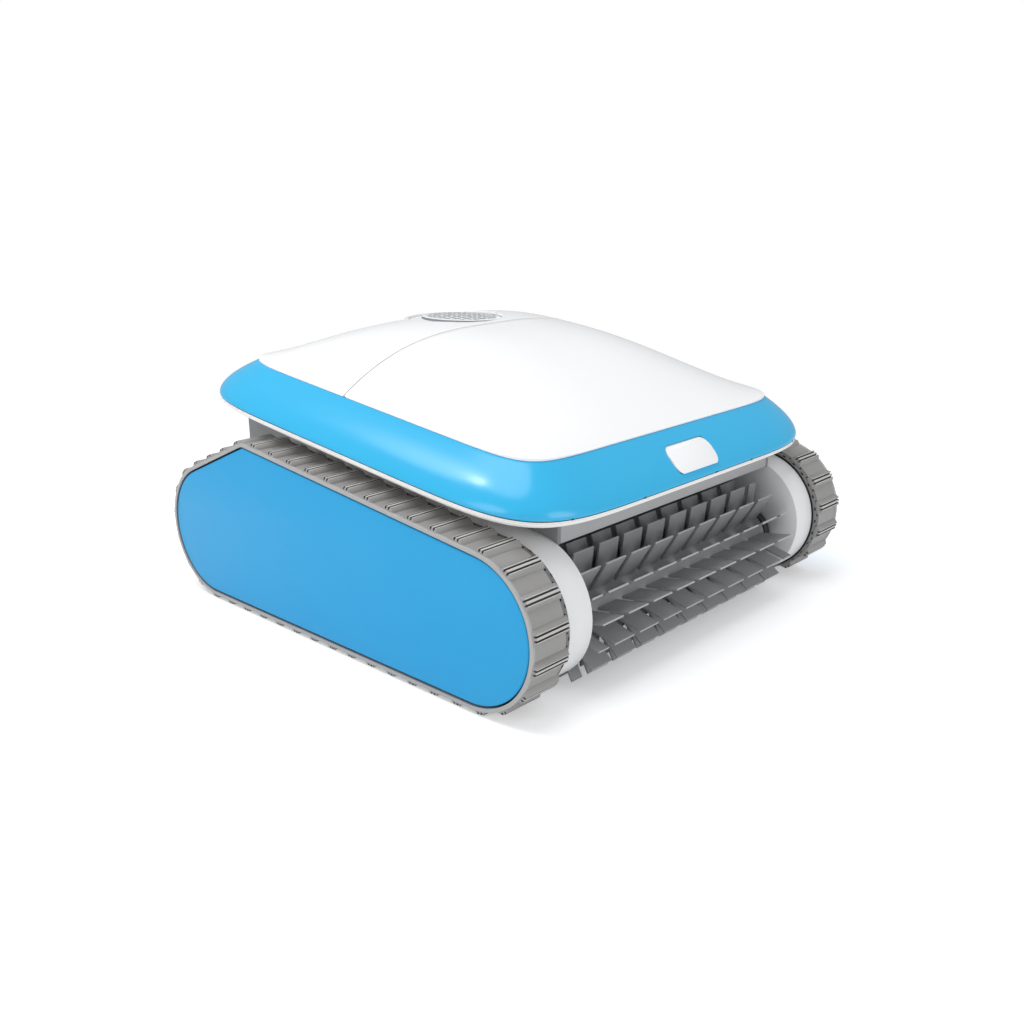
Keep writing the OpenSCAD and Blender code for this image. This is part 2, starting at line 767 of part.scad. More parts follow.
// Shell between stacked outlines: rings from the bottom up, outer then inner
module band_shell() {
    steps = 8;
    n = outline_steps;
    heights = [for (i = [0 : steps]) band_h * i / steps];
    points = concat(
        [for (w = heights)
            for (p = outline(band_a(w), band_b(w), band_v(w), band_n(w))) [p[0], p[1], w]],
        [for (w = heights)
            for (p = outline(band_a(w) - band_t, band_b(w) - band_t, band_v(w), band_n(w)))
                [p[0], p[1], w]]);
    inner = (steps + 1) * n;
    faces = concat(
        [for (k = [0 : steps - 1]) for (i = [0 : n - 1]) let (j = (i + 1) % n)
            [k * n + i, (k + 1) * n + i, (k + 1) * n + j, k * n + j]],
        [for (k = [0 : steps - 1]) for (i = [0 : n - 1]) let (j = (i + 1) % n)
            [inner + k * n + i, inner + k * n + j, inner + (k + 1) * n + j, inner + (k + 1) * n + i]],
        [for (i = [0 : n - 1]) let (j = (i + 1) % n) [i, j, inner + j, inner + i]],
        [for (i = [0 : n - 1]) let (j = (i + 1) % n)
            [steps * n + i, inner + steps * n + i, inner + steps * n + j, steps * n + j]]);
    polyhedron(points, faces);
}

// Rounded rectangle, grown all round
module button_2d(grow) {
    r = button_corner + grow;
    x = button_w / 2 + grow - r;
    y = button_h / 2 + grow - r;
    square([2 * x, 2 * (y + r)], center = true);
    square([2 * (x + r), 2 * y], center = true);
    for (i = [-1, 1]) for (j = [-1, 1]) translate([i * x, j * y]) circle(r);
}

module button_prism(grow, v0, v1) {
    translate([0, v1, button_at]) rotate([90, 0, 0]) linear_extrude(v1 - v0) button_2d(grow);
}

module canopy_band() color(blue) in_canopy() {
    difference() {
        band_shell();
        button_prism(button_gap, front_v - 20, front_v + 20);
    }
    rib_h = 7;
    rib_reach = band_a(rib_h) - band_t - band_post_x;
    for (p = band_posts) translate([p[0] * band_post_x, p[1], 0]) difference() {
        union() {
            cylinder(r = 5.5, h = 11);
            translate([p[0] > 0 ? 0 : -rib_reach, -1.5, 0]) cube([rib_reach, 3, rib_h]);
        }
        translate([0, 0, -1]) cylinder(r = screw_r + fix_fit, h = 10);
    }
}

module band_screws() color(steel) in_canopy() for (p = band_posts)
    translate([p[0] * band_post_x, p[1], -rim_t]) {
        cylinder(r = screw_r, h = rim_t + 8);
        translate([0, 0, -1.8]) cylinder(r = 2 * screw_r, h = 1.8);
    }

module rim_screws() color(steel) for (p = rim_posts) translate([p[0] * rim_post_x, p[1], 0]) {
    top = plane_z(p[1], 0) + 0.6;
    translate([0, 0, plane_z(p[1], -rim_t) - 14]) cylinder(r = screw_r, h = rim_t + 15);
    translate([0, 0, top]) cylinder(r = 2 * screw_r, h = 2);
}

module top_frame() color(shell_grey) difference() {
    in_canopy() {
        difference() {
            translate([0, 0, frame_top_w - top_frame_t]) linear_extrude(top_frame_t)
                polygon(outline(band_a(frame_top_w) - frame_edge, band_b(frame_top_w) - frame_edge,
                    band_v(frame_top_w), band_n(frame_top_w)));
            translate([-rim_opening, -frame_hole_front, frame_top_w - 10])
                cube([2 * rim_opening, frame_hole_front + seam_v - 2, 20]);
            translate([-catch_w / 2 - 2, catch_v - catch_front, frame_top_w - 10])
                cube([catch_w + 4, catch_front + catch_t + catch_back, 20]);
        }
        for (p = frame_posts) translate([p[0] * frame_post_x, p[1], 0]) cylinder(r = 5, h = frame_top_w);
    }
    translate([0, pump_y, canopy_z]) cylinder(r = duct_r + duct_t + 1, h = 2 * frame_top_w);
}

// Domed shell over the rows vs, with its underside shortened by cut at the seam end
module dome_shell(vs, cut) {
    cols = 28;
    rows = len(vs) - 1;
    n = cols + 1;
    last = vs[rows];
    function under(v) = abs(v - last) < 0.01 ? v - cut : v;
    function col_x(v, i) = lid_half(v) * sin(180 * i / cols - 90);
    points = concat(
        [for (v = vs) for (i = [0 : cols]) let (x = col_x(v, i)) [x, v, dome_w(x, v)]],
        [for (v = vs) for (i = [0 : cols]) let (x = col_x(v, i)) [x, under(v), under_w(x, under(v))]]);
    low = (rows + 1) * n;
    quads = [for (k = [0 : rows - 1]) for (i = [0 : cols - 1])
        [k * n + i, k * n + i + 1, (k + 1) * n + i + 1, (k + 1) * n + i]];
    up = last > vs[0];
    faces = concat(
        [for (q = quads) for (t = [[q[0], q[1], q[2]], [q[0], q[2], q[3]]]) flip(t, up)],
        [for (q = quads) for (t = [[q[0], q[2], q[1]], [q[0], q[3], q[2]]]) flip(low_face(t, low), up)],
        [for (i = [0 : cols - 1]) flip([i, low + i, low + i + 1, i + 1], up)],
        [for (i = [0 : cols - 1]) let (a = rows * n + i) flip([a, a + 1, low + a + 1, low + a], up)],
        [for (k = [0 : rows - 1]) let (a = k * n, b = (k + 1) * n) flip([a, b, low + b, low + a], up)],
        [for (k = [0 : rows - 1]) let (a = k * n + cols, b = (k + 1) * n + cols)
            flip([a, low + a, low + b, b], up)]);
    polyhedron(points, faces);
}
function flip(f, up) = up ? [for (i = [len(f) - 1 : -1 : 0]) f[i]] : f;
function low_face(t, low) = [for (i = t) i + low];

module front_lid() color(white) in_canopy()
    dome_shell(concat([for (e = edge_rows) upper_v - lid_b * e], [seam_v - 14, seam_v]), lid_t + 0.6);

module rear_cover() color(white) difference() {
    in_canopy() dome_shell(concat([for (e = edge_rows) upper_v + lid_b * e], [seam_v + seam_gap]), 0);
    translate([0, pump_y, grille_top - 40]) cylinder(r = grille_hole, h = 60);
}

// Tongue under the front edge that reaches into the button's stem
module lid_catch() color(white) in_canopy() {
    translate([-catch_w / 2, catch_v, button_at]) cube([catch_w, catch_t, lid_w - button_at]);
    translate([-catch_w / 2, catch_v - catch_barb, button_at]) cube([catch_w, catch_barb + 0.4, 2]);
}

// Hinge arms under the lid, cranked so that they clear the rear cover's edge
module lid_hinge() color(white) in_canopy() for (s = [-1, 1]) {
    foot_v = hinge_v - 28;
    foot_w = dome_w(hinge_x + arm_w / 2, foot_v) - lid_t - 0.15;
    difference() {
        translate([s * hinge_x - arm_w / 2, 0, 0]) rotate([90, 0, 90]) linear_extrude(arm_w) {
            translate([hinge_v, hinge_w]) circle(hinge_ring);
            polygon([[hinge_v - 2.5, hinge_w], [hinge_v + 1, hinge_w - 4], [hinge_v - 2, hinge_w - 17],
                [foot_v - 1, hinge_w - 18], [foot_v - 5, hinge_w - 14], [foot_v - 5, foot_w],
                [foot_v + 1, foot_w], [foot_v + 1, hinge_w - 12.5], [hinge_v - 7.5, hinge_w - 12]]);
        }
        translate([s * hinge_x - arm_w, hinge_v, hinge_w]) rotate([0, 90, 0])
            cylinder(r = hinge_pin_r + run_fit, h = 2 * arm_w);
    }
}

module hinge_bracket() color(shell_grey) in_canopy() {
    ear = 4;
    difference() {
        union() {
            for (s = [-1, 1]) for (x = [hinge_x - arm_w / 2 - 0.4 - ear, hinge_x + arm_w / 2 + 0.4])
                translate([s > 0 ? x : -x - ear, 0, 0]) rotate([90, 0, 90]) linear_extrude(ear) {
                    translate([hinge_v, hinge_w]) circle(hinge_ring);
                    polygon([[hinge_v - 4, frame_top_w], [hinge_v + 12, frame_top_w],
                        [hinge_v + 8, hinge_w - 8],
                        [hinge_v + hinge_ring, hinge_w], [hinge_v, hinge_w], [hinge_v + 2, hinge_w - 10]]);
                }
            for (s = [-1, 1]) translate([s * hinge_x - 12, hinge_v - 4, frame_top_w])
                cube([24, 16, 3]);
        }
        translate([-hinge_x - 20, hinge_v, hinge_w]) rotate([0, 90, 0])
            cylinder(r = hinge_pin_r + fix_fit, h = 2 * hinge_x + 40);
    }
}

module hinge_pin() color(steel) in_canopy() for (s = [-1, 1])
    translate([s * hinge_x - 8.6, hinge_v, hinge_w]) rotate([0, 90, 0]) cylinder(r = hinge_pin_r, h = 17.2);

// Crowned disc with a net of slits and grooves to the right and a finger hollow to the left
module outlet_grille() color(white) translate([0, pump_y, grille_top]) difference() {
    translate([0, 0, -grille_ring_h]) cylinder(r = grille_r, h = grille_ring_h + 1);
    translate([0, 0, -cap_r]) difference() {
        cylinder(r = 2 * grille_r, h = 2 * cap_r);
        sphere(cap_r, $fn = 200);
    }
    translate([0, 0, -cap_r]) intersection() {
        sphere(cap_r - grille_t, $fn = 200);
        cylinder(r = grille_r - 3, h = 2 * cap_r);
    }
    intersection() {
        translate([net_x, 0, -cap_r]) cylinder(r = net_r, h = 2 * cap_r);
        union() {
            for (i = [-4.5 : 4.5])
                translate([net_x + i * net_pitch - net_slit / 2, -net_r, -grille_ring_h])
                    cube([net_slit, 2 * net_r, 2 * grille_ring_h]);
            difference() {
                for (i = [-4.5 : 4.5])
                    translate([net_x - net_r, i * net_pitch - net_slit / 2, -grille_ring_h])
                        cube([2 * net_r, net_slit, 2 * grille_ring_h]);
                translate([0, 0, -cap_r]) sphere(cap_r - net_groove, $fn = 200);
            }
        }
    }
    difference() {
        translate([0, 0, -grille_ring_h]) cylinder(r = hollow_r, h = 2 * grille_ring_h);
        translate([net_x, 0, -cap_r]) cylinder(r = net_r + hollow_gap, h = 2 * cap_r);
        translate([0, 0, -cap_r]) sphere(cap_r - hollow_deep, $fn = 200);
    }
}

// ---------------------------------------------------------------- latch

module latch_button() color(white) in_canopy() {
    lean = atan(front_lean);
    intersection() {
        button_prism(0, front_v - 20, front_v + 11);
        translate([-button_w, front_v + front_bend * cos(lean), button_at - front_bend * sin(lean)])
            rotate([0, 90, 0]) cylinder(r = front_bend + button_proud, h = 2 * button_w, $fn = 200);
    }
    difference() {
        translate([-stem_w / 2, front_v + 8, button_at - stem_h / 2])
            cube([stem_w, stem_back - front_v - 8, stem_h]);
        translate([-catch_w / 2 - 2, catch_v - catch_front, 0])
            cube([catch_w + 4, catch_front + catch_t + 1.5, 2 * button_at]);
    }
    translate([0, stem_back - 1, button_at]) rotate([-90, 0, 0]) cylinder(r = 1.8, h = 4);
}

module latch_housing() color(shell_grey) in_canopy() {
    top = button_at + stem_h / 2 + 3;
    difference() {
        translate([-stem_w / 2 - 3, house_front, 0]) cube([stem_w + 6, house_back - house_front + 3, top]);
        translate([-stem_w / 2 - 0.3, house_front - 1, button_at - stem_h / 2 - 0.3])
            cube([stem_w + 0.6, house_back - house_front + 1, stem_h + 0.6]);
        translate([-catch_w / 2 - 1.5, catch_v - catch_front, button_at])
            cube([catch_w + 3, catch_front + catch_t + catch_back, top]);
    }
}

module latch_spring() color(steel) in_canopy()
    translate([0, stem_back + 0.2, button_at]) rotate([-90, 0, 0]) difference() {
        cylinder(r = 3.4, h = house_back - stem_back - 0.4);
        translate([0, 0, -1]) cylinder(r = 2.2, h = house_back - stem_back + 2);
    }

// Foam blocks between the rim's screws and the inside of the band
module float_blocks() color("#f2f2ee") in_canopy() both_sides() {
    inner = rim_post_x + 2 * screw_r + float_gap;
    outer = band_a(float_h) - band_t - float_gap;
    translate([inner, -float_l / 2, 0.5]) cube([outer - inner, float_l, float_h]);
}

// ---------------------------------------------------------------- filter

// Four walls with windows, behind which the mesh lies
module filter_basket() color("#8fb6cf") translate([0, 0, basket_z + basket_t]) difference() {
    length = basket_front + basket_rear;
    wall_h = basket_h - basket_t;
    window_z = 14 - basket_t;
    window_h = basket_h - 26;
    side_l = length / 2 - 16;
    translate([-basket_a, -basket_front, 0]) cube([2 * basket_a, length, wall_h]);
    translate([-basket_a + basket_t, -basket_front + basket_t, -1])
        cube([2 * (basket_a - basket_t), length - 2 * basket_t, wall_h + 2]);
    for (i = [-2 : 2]) translate([i * basket_a * 0.38 - basket_a * 0.14, -basket_front - 1, window_z])
        cube([basket_a * 0.28, length + 2, window_h]);
    for (y = [-basket_front + 10, basket_rear - 10 - side_l])
        translate([-basket_a - 1, y, window_z]) cube([2 * basket_a + 2, side_l, window_h]);
}

// Floor over the suction slot, with lugs that hold the flap's pin
module basket_floor() color("#8fb6cf") difference() {
    union() {
        translate([-basket_a, -basket_front, basket_z])
            cube([2 * basket_a, basket_front + basket_rear, basket_t]);
        for (x = [-slot_w / 2 - 1, slot_w / 2 - 4])
            translate([x, flap_y - 3.5, basket_z]) cube([5, 7, flap_z - basket_z + 3]);
    }
    translate([-slot_w / 2 + 8, slot_c - slot_l / 2 + 1, basket_z - 1])
        cube([slot_w - 16, slot_l - 2, basket_t + 2]);
    translate([-slot_w, flap_y, flap_z]) rotate([0, 90, 0])
        cylinder(r = flap_pin_r + fix_fit, h = 2 * slot_w);
}

module filter_mesh() color("#dfe8ee") {
    inset = basket_t + 0.2;
    sheet = 0.8;
    translate([0, 0, basket_z + 10]) difference() {
        translate([-basket_a + inset, -basket_front + inset, 0])
            cube([2 * (basket_a - inset), basket_front + basket_rear - 2 * inset, basket_h - 16]);
        translate([-basket_a + inset + sheet, -basket_front + inset + sheet, -1])
            cube([2 * (basket_a - inset - sheet), basket_front + basket_rear - 2 * (inset + sheet),
                basket_h]);
    }
}

module inlet_flap() color(dark) difference() {
    flap_w = slot_w - 9;
    union() {
        translate([-flap_w / 2, slot_c - slot_l / 2 - 1, flap_z - 1.7])
            cube([flap_w, flap_y - slot_c + slot_l / 2 + 1, 1.6]);
        translate([-flap_w / 2, flap_y, flap_z]) rotate([0, 90, 0])
            cylinder(r = flap_pin_r + 1.2, h = flap_w);
    }
    translate([-flap_w, flap_y, flap_z]) rotate([0, 90, 0])
        cylinder(r = flap_pin_r + run_fit, h = 2 * flap_w);
}

module flap_pin() color(steel)
    translate([-slot_w / 2 - 0.8, flap_y, flap_z]) rotate([0, 90, 0])
        cylinder(r = flap_pin_r, h = slot_w + 1.6);

// ---------------------------------------------------------------- motor box and pump

module box_block(inset, z0, h) {
    translate([-box_a + inset, box_front + inset, z0])
        cube([2 * (box_a - inset), box_rear - box_front - 2 * inset, h]);
}

module motor_box() color(dark) difference() {
    union() {
        difference() {
            box_block(0, box_z, box_h);
            box_block(box_t, box_z + box_t, box_h);
        }
        both_sides() for (y = box_screw_y) translate([box_screw_x, y, box_top - 16])
            cylinder(r = 4, h = 16);
    }
    both_sides() {
        rod_x(rear_c, shaft_r + 2, box_a - box_t - 1, box_a + 1);
        for (y = box_screw_y) translate([box_screw_x, y, box_top - 12])
            cylinder(r = screw_r + fix_fit, h = 13);
    }
}

module motor_box_gasket() color("#202020") translate([0, 0, box_top]) difference() {
    box_block(0.4, 0, 1);
    box_block(box_t - 0.4, -1, 3);
    both_sides() for (y = box_screw_y) translate([box_screw_x, y, -1])
        cylinder(r = screw_r + screw_gap, h = 3);
}

module motor_box_lid() color(dark) difference() {
    union() {
        box_block(0, box_top + 1, box_lid_t - 1);
        translate([0, pump_y, lid_top - 1]) cylinder(r = tower_r, h = tower_h + 1);
    }
    translate([0, pump_y, box_top - 1]) cylinder(r = pump_shaft_r + 1, h = tower_h + 20);
    translate([0, pump_y, lid_top + tower_h - 5]) cylinder(r = pump_shaft_r + 3 + fix_fit, h = 10);
    both_sides() for (y = box_screw_y) translate([box_screw_x, y, box_top - 1])
        cylinder(r = screw_r + screw_gap, h = 10);
}

module lid_screws() color(steel) both_sides() for (y = box_screw_y) translate([box_screw_x, y, 0]) {
    translate([0, 0, box_top - 9]) cylinder(r = screw_r, h = box_lid_t + 10);
    translate([0, 0, lid_top]) cylinder(r = 2 * screw_r - 0.4, h = 2);
}

module shaft_seals() color("#202020") {
    both_sides() difference() {
        rod_x(rear_c, shaft_r + 2 - fix_fit, box_a - box_t, box_a);
        rod_x(rear_c, shaft_r + run_fit, box_a - 10, box_a + 1);
    }
    translate([0, pump_y, lid_top + tower_h - 5]) difference() {
        cylinder(r = pump_shaft_r + 3, h = 5);
        translate([0, 0, -1]) cylinder(r = pump_shaft_r + run_fit, h = 7);
    }
}

module pump_motor() color(steel) translate([0, pump_y, box_z + box_t]) difference() {
    union() {
        cylinder(r = pump_r, h = box_h - box_t - 14);
        translate([0, 0, box_h - box_t - 14.5]) cylinder(r = pump_r * 0.4, h = 6);
    }
    translate([0, 0, box_h - box_t - 20]) cylinder(r = pump_shaft_r + run_fit, h = 20);
}

module drive_motor() {
    difference() {
        union() {
            rod_x(rear_c, motor_r - 2, motor_out - motor_len, motor_out - 22);
            rod_x(rear_c, motor_r, motor_out - 22, motor_out - 3);
            rod_x(rear_c, shaft_r + 3, motor_out - 4, motor_out);
            // cradle down to the floor of the box
            translate([motor_out - 60, rear_wheel_y - 12, box_z + box_t])
                cube([50, 24, wheel_z - box_z - box_t - motor_r * 0.6]);
        }
        rod_x(rear_c, shaft_r + run_fit, motor_out - 12, motor_out + 1);
    }
}
module drive_motors() color(steel) both_sides() drive_motor();

module control_board() color("#2f7d4f") translate([-board_x, box_front + box_t + 3, box_z + box_t]) {
    cube([44, 1.6, 50]);
    translate([4, 1, 26]) cube([14, 5, 12]);
    translate([8, 1, 6]) cube([8, 7, 12]);
    translate([24, 1, 8]) cube([12, 3, 30]);
}

module impeller() color(blue) translate([0, pump_y, impeller_z]) difference() {
    union() {
        cylinder(r = 10, h = impeller_h);
        intersection() {
            cylinder(r = duct_r - impeller_gap, h = impeller_h);
            for (i = [0 : impeller_blades - 1]) rotate(360 * i / impeller_blades)
                translate([8, 0, impeller_h / 2]) rotate([38, 0, 0]) translate([0, -1, -impeller_h])
                    cube([duct_r, 2, 2 * impeller_h]);
        }
    }
    translate([0, 0, -1]) cylinder(r = pump_shaft_r + fix_fit, h = impeller_h - 2);
}

module impeller_shaft() color(steel) translate([0, pump_y, box_top - 18])
    cylinder(r = pump_shaft_r, h = impeller_z + impeller_h - 5 - box_top + 18);

module outlet_duct() color(shell_grey) translate([0, pump_y, 0]) {
    translate([0, 0, duct_low]) difference() {
        cylinder(r = duct_r + duct_t, h = duct_top - duct_low);
        translate([0, 0, -1]) cylinder(r = duct_r, h = duct_top);
    }
    for (a = [45 : 90 : 315]) rotate(a) translate([duct_r, -4, lid_top])
        cube([duct_t - 0.2, 8, duct_low - lid_top + 1]);
}

brush_tunnel();
hull_floor();
hull_sides();
hull_back();
base_rim();
canopy_band();
top_frame();
front_lid();
lid_catch();
lid_hinge();
hinge_bracket();
hinge_pin();
rear_cover();
outlet_grille();
latch_button();
latch_spring();
latch_housing();
float_blocks();
left_side_frame();
right_side_frame();
left_side_cover();
right_side_cover();
left_track();
right_track();
left_drive_wheel();
right_drive_wheel();
left_drive_shaft();
right_drive_shaft();
left_front_wheel();
right_front_wheel();
front_axles();
left_top_idler();
right_top_idler();
idler_pins();
axle_clips();
bushes();
brush_core();
brush_sleeve();
left_brush_end();
right_brush_end();
filter_basket();
basket_floor();
filter_mesh();
inlet_flap();
flap_pin();
motor_box();
motor_box_lid();
motor_box_gasket();
pump_motor();
drive_motors();
control_board();
shaft_seals();
cable_gland();
impeller();
impeller_shaft();
outlet_duct();
side_screws();
rim_screws();
band_screws();
lid_screws();
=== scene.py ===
import math

import bmesh
import bpy
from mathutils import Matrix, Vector
from mathutils.kdtree import KDTree


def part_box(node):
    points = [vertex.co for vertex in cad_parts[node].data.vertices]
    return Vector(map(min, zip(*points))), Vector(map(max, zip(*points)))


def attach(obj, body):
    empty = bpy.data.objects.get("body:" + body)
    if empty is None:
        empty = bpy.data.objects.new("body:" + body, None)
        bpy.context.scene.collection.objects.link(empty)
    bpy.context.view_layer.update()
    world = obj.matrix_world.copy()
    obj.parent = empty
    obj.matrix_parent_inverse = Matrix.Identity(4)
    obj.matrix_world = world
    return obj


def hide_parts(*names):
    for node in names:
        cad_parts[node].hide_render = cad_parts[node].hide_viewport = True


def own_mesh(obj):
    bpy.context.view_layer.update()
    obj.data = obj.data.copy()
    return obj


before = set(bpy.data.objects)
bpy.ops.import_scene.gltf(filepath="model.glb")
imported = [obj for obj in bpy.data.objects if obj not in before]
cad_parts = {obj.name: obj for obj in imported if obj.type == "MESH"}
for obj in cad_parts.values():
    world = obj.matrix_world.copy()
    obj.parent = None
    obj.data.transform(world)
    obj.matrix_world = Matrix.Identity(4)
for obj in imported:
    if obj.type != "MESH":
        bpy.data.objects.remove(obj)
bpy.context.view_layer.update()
mm = 0.001

# ------------------------------------------------------------------ studio
# A plain pale floor under soft white light: a large lamp overhead, weaker ones left and front,
# and two small ones high at the left rear for the bright spots on the band. The camera stands in
# front and to the left, a little above the machine.
scene = bpy.context.scene
scene.view_settings.view_transform = "Standard"

CAMERA_PLACE = (-0.62256, -0.57279, 0.3252)
CAMERA_TURN = (90 - 17.54, 0, -47.52)
bpy.ops.object.camera_add(location=CAMERA_PLACE, rotation=[math.radians(a) for a in CAMERA_TURN])
camera = bpy.context.object
camera.data.sensor_width = 36
camera.data.lens = 38.1
scene.camera = camera


def linear(code):
    """The linear colour of an sRGB hex value."""
    shares = [int(code[i:i + 2], 16) / 255 for i in (1, 3, 5)]
    return [c / 12.92 if c <= 0.04045 else ((c + 0.055) / 1.055) ** 2.4 for c in shares] + [1]


def add_node(material, kind, settings=None, inputs=None):
    """A node in a material or world, with its settings, and with values or links on its inputs."""
    node = material.node_tree.nodes.new(kind)
    for key, value in (settings or {}).items():
        setattr(node, key, value)
    for key, value in (inputs or {}).items():
        if isinstance(value, bpy.types.NodeSocket):
            material.node_tree.links.new(value, node.inputs[key])
        else:
            node.inputs[key].default_value = value
    return node


def blank(material):
    """Clears a new material's or world's nodes and adds its output."""
    material.use_nodes = True
    material.node_tree.nodes.clear()
    is_world = isinstance(material, bpy.types.World)
    return add_node(material, "ShaderNodeOutputWorld" if is_world else "ShaderNodeOutputMaterial")


# Even pale light from all round, and white where the lens, gloss or glass looks past the machine
studio = bpy.data.worlds.new("studio_air")
scene.world = studio
out = blank(studio)
rays = add_node(studio, "ShaderNodeLightPath")
seen = add_node(studio, "ShaderNodeMath", {"operation": "MAXIMUM"},
                {0: rays.outputs["Is Camera Ray"], 1: rays.outputs["Is Transmission Ray"]})
ambient = add_node(studio, "ShaderNodeBackground", inputs={"Color": linear("#F4F7FB"), "Strength": 0.54})
glossy = add_node(studio, "ShaderNodeBackground", inputs={"Color": linear("#FFFFFF"), "Strength": 0.45})
white = add_node(studio, "ShaderNodeBackground", inputs={"Color": linear("#FFFFFF"), "Strength": 1.0})
mix = add_node(studio, "ShaderNodeMixShader", inputs={0: rays.outputs["Is Glossy Ray"],
                                                      1: ambient.outputs[0], 2: glossy.outputs[0]})
mix = add_node(studio, "ShaderNodeMixShader",
               inputs={0: seen.outputs[0], 1: mix.outputs[0], 2: white.outputs[0]})
studio.node_tree.links.new(mix.outputs[0], out.inputs["Surface"])

# name, place, what it points at, size across, power in watts
LAMPS = [
    ("top_lamp", (-0.33, 0.1, 1.6), (0, 0, 0.1), 1.3, 10.8),
    ("left_lamp", (-1.7, 0.1, 0.6), (0, 0, 0.1), 1.0, 5.9),
    ("front_lamp", (0.1, -1.7, 0.35), (0, 0, 0.05), 1.0, 6.4),
    ("edge_lamp", (-0.63, 0.76, 1.3), (-0.1, -0.1, 0.15), 0.36, 1.3),
    ("spark_lamp", (-0.71, 0.54, 1.37), (-0.1, -0.1, 0.15), 0.13, 1.8),
]
for name, place, target, size, power in LAMPS:
    bpy.ops.object.light_add(type="AREA", location=place)
    lamp = bpy.context.object
    lamp.name = name
    lamp.data.shape = "DISK"
    lamp.data.size = size
    lamp.data.energy = power
    lamp.rotation_euler = (Vector(target) - Vector(place)).to_track_quat("-Z", "Y").to_euler()

bpy.ops.mesh.primitive_plane_add(size=30, location=(0, 0, 0))
floor = bpy.context.object
floor.name = "floor"
paper = bpy.data.materials.new("white_paper")
out = blank(paper)
rays = add_node(paper, "ShaderNodeLightPath")
matt = add_node(paper, "ShaderNodeBsdfDiffuse", inputs={"Color": linear("#F7F7F7")})
glow = add_node(paper, "ShaderNodeEmission", inputs={"Color": linear("#FFFFFF"), "Strength": 0.34})
lit = add_node(paper, "ShaderNodeAddShader", inputs={0: matt.outputs[0], 1: glow.outputs[0]})
# The lens sees the paper turn into pure white away from the machine's own shadow
FADE_START, FADE_END = 0.3, 0.8
white = add_node(paper, "ShaderNodeEmission", inputs={"Color": linear("#FFFFFF"), "Strength": 1.0})
place = add_node(paper, "ShaderNodeTexCoord").outputs["Object"]
away = add_node(paper, "ShaderNodeVectorMath", {"operation": "LENGTH"}, {0: place}).outputs["Value"]
fade = add_node(paper, "ShaderNodeMapRange", {"interpolation_type": "SMOOTHSTEP"},
                {0: away, 1: FADE_START, 2: FADE_END})
seen = add_node(paper, "ShaderNodeMixShader",
                inputs={0: fade.outputs[0], 1: lit.outputs[0], 2: white.outputs[0]})
mix = add_node(paper, "ShaderNodeMixShader", inputs={0: rays.outputs["Is Camera Ray"],
                                                     1: matt.outputs[0], 2: seen.outputs[0]})
paper.node_tree.links.new(mix.outputs[0], out.inputs["Surface"])
floor.data.materials.append(paper)

# ------------------------------------------------------------------ blue band
# The blue ring of the canopy, an injection-moulded ABS shell 3 mm thick. Its outline is a
# rounded rectangle that draws in and up to the lid, and its front has a hole for the button.
TILT = math.radians(6.588)
JOINT_Z = 142.9 * mm
BAND_H = 27.7 * mm
CANOPY_A, CANOPY_B = 177.3 * mm, 180.2 * mm
LID_A, LID_B = 150.5 * mm, 149 * mm
LOW_V, HIGH_V = -2.6 * mm, -3.5 * mm
SQUARE_LOW, SQUARE_HIGH = 6.7, 10.5
SIDES = 256
# How the outline draws in with height, and the metres of outline that a radian of turn counts for
BAND_CURVE, TURN_WORTH = 1.45, 0.16


def canopy(x, v, w):
    """A place on the sloping canopy: x across, v along and w above its joint line."""
    return Vector((x, v * math.cos(TILT) - w * math.sin(TILT),
                   JOINT_Z + v * math.sin(TILT) + w * math.cos(TILT)))


def oval(a, b, v, n, t):
    """A point of the squared oval with half sizes a and b and squareness n."""
    c, s = math.cos(t), math.sin(t)
    return (a * math.copysign(abs(c) ** (2 / n), c),
            v + b * math.copysign(abs(s) ** (2 / n), s))


def even_turns(count):
    """Parameters that space points evenly by length and by turning round the band's outline."""
    tries = 6000
    fine = [2 * math.pi * (i + 0.5) / tries for i in range(tries)]
    points = [Vector(oval(CANOPY_A, CANOPY_B, 0, SQUARE_LOW, t)) for t in fine]
    way = [0]
    for i in range(1, len(points)):
        step = points[i] - points[i - 1]
        after = points[(i + 1) % len(points)] - points[i]
        way.append(way[-1] + step.length + TURN_WORTH * abs(step.angle_signed(after, 0)))
    turns, k = [], 0
    for i in range(count):
        while way[k + 1] < way[-1] * (i + 0.5) / count:
            k += 1
        turns.append(fine[k])
    return turns


TURNS = even_turns(SIDES)


def band_ring(w, inset=0.0):
    """Points round the band at the height w."""
    share = (max(w, 0) / BAND_H) ** BAND_CURVE
    a = CANOPY_A - (CANOPY_A - LID_A) * share - inset
    b = CANOPY_B - (CANOPY_B - LID_B) * share - inset
    v = LOW_V + (HIGH_V - LOW_V) * share
    n = SQUARE_LOW + (SQUARE_HIGH - SQUARE_LOW) * max(w, 0) / BAND_H
    return [canopy(*oval(a, b, v, n, t), w) for t in TURNS]


def only(*objects):
    """Selects these objects and nothing else."""
    bpy.ops.object.select_all(action="DESELECT")
    for piece in objects:
        piece.select_set(True)
    bpy.context.view_layer.objects.active = objects[0]


def outwards():
    """Turns the active piece's faces outwards and leaves edit mode."""
    bpy.ops.mesh.select_all(action="SELECT")
    bpy.ops.mesh.normals_make_consistent(inside=False)
    bpy.ops.object.mode_set(mode="OBJECT")


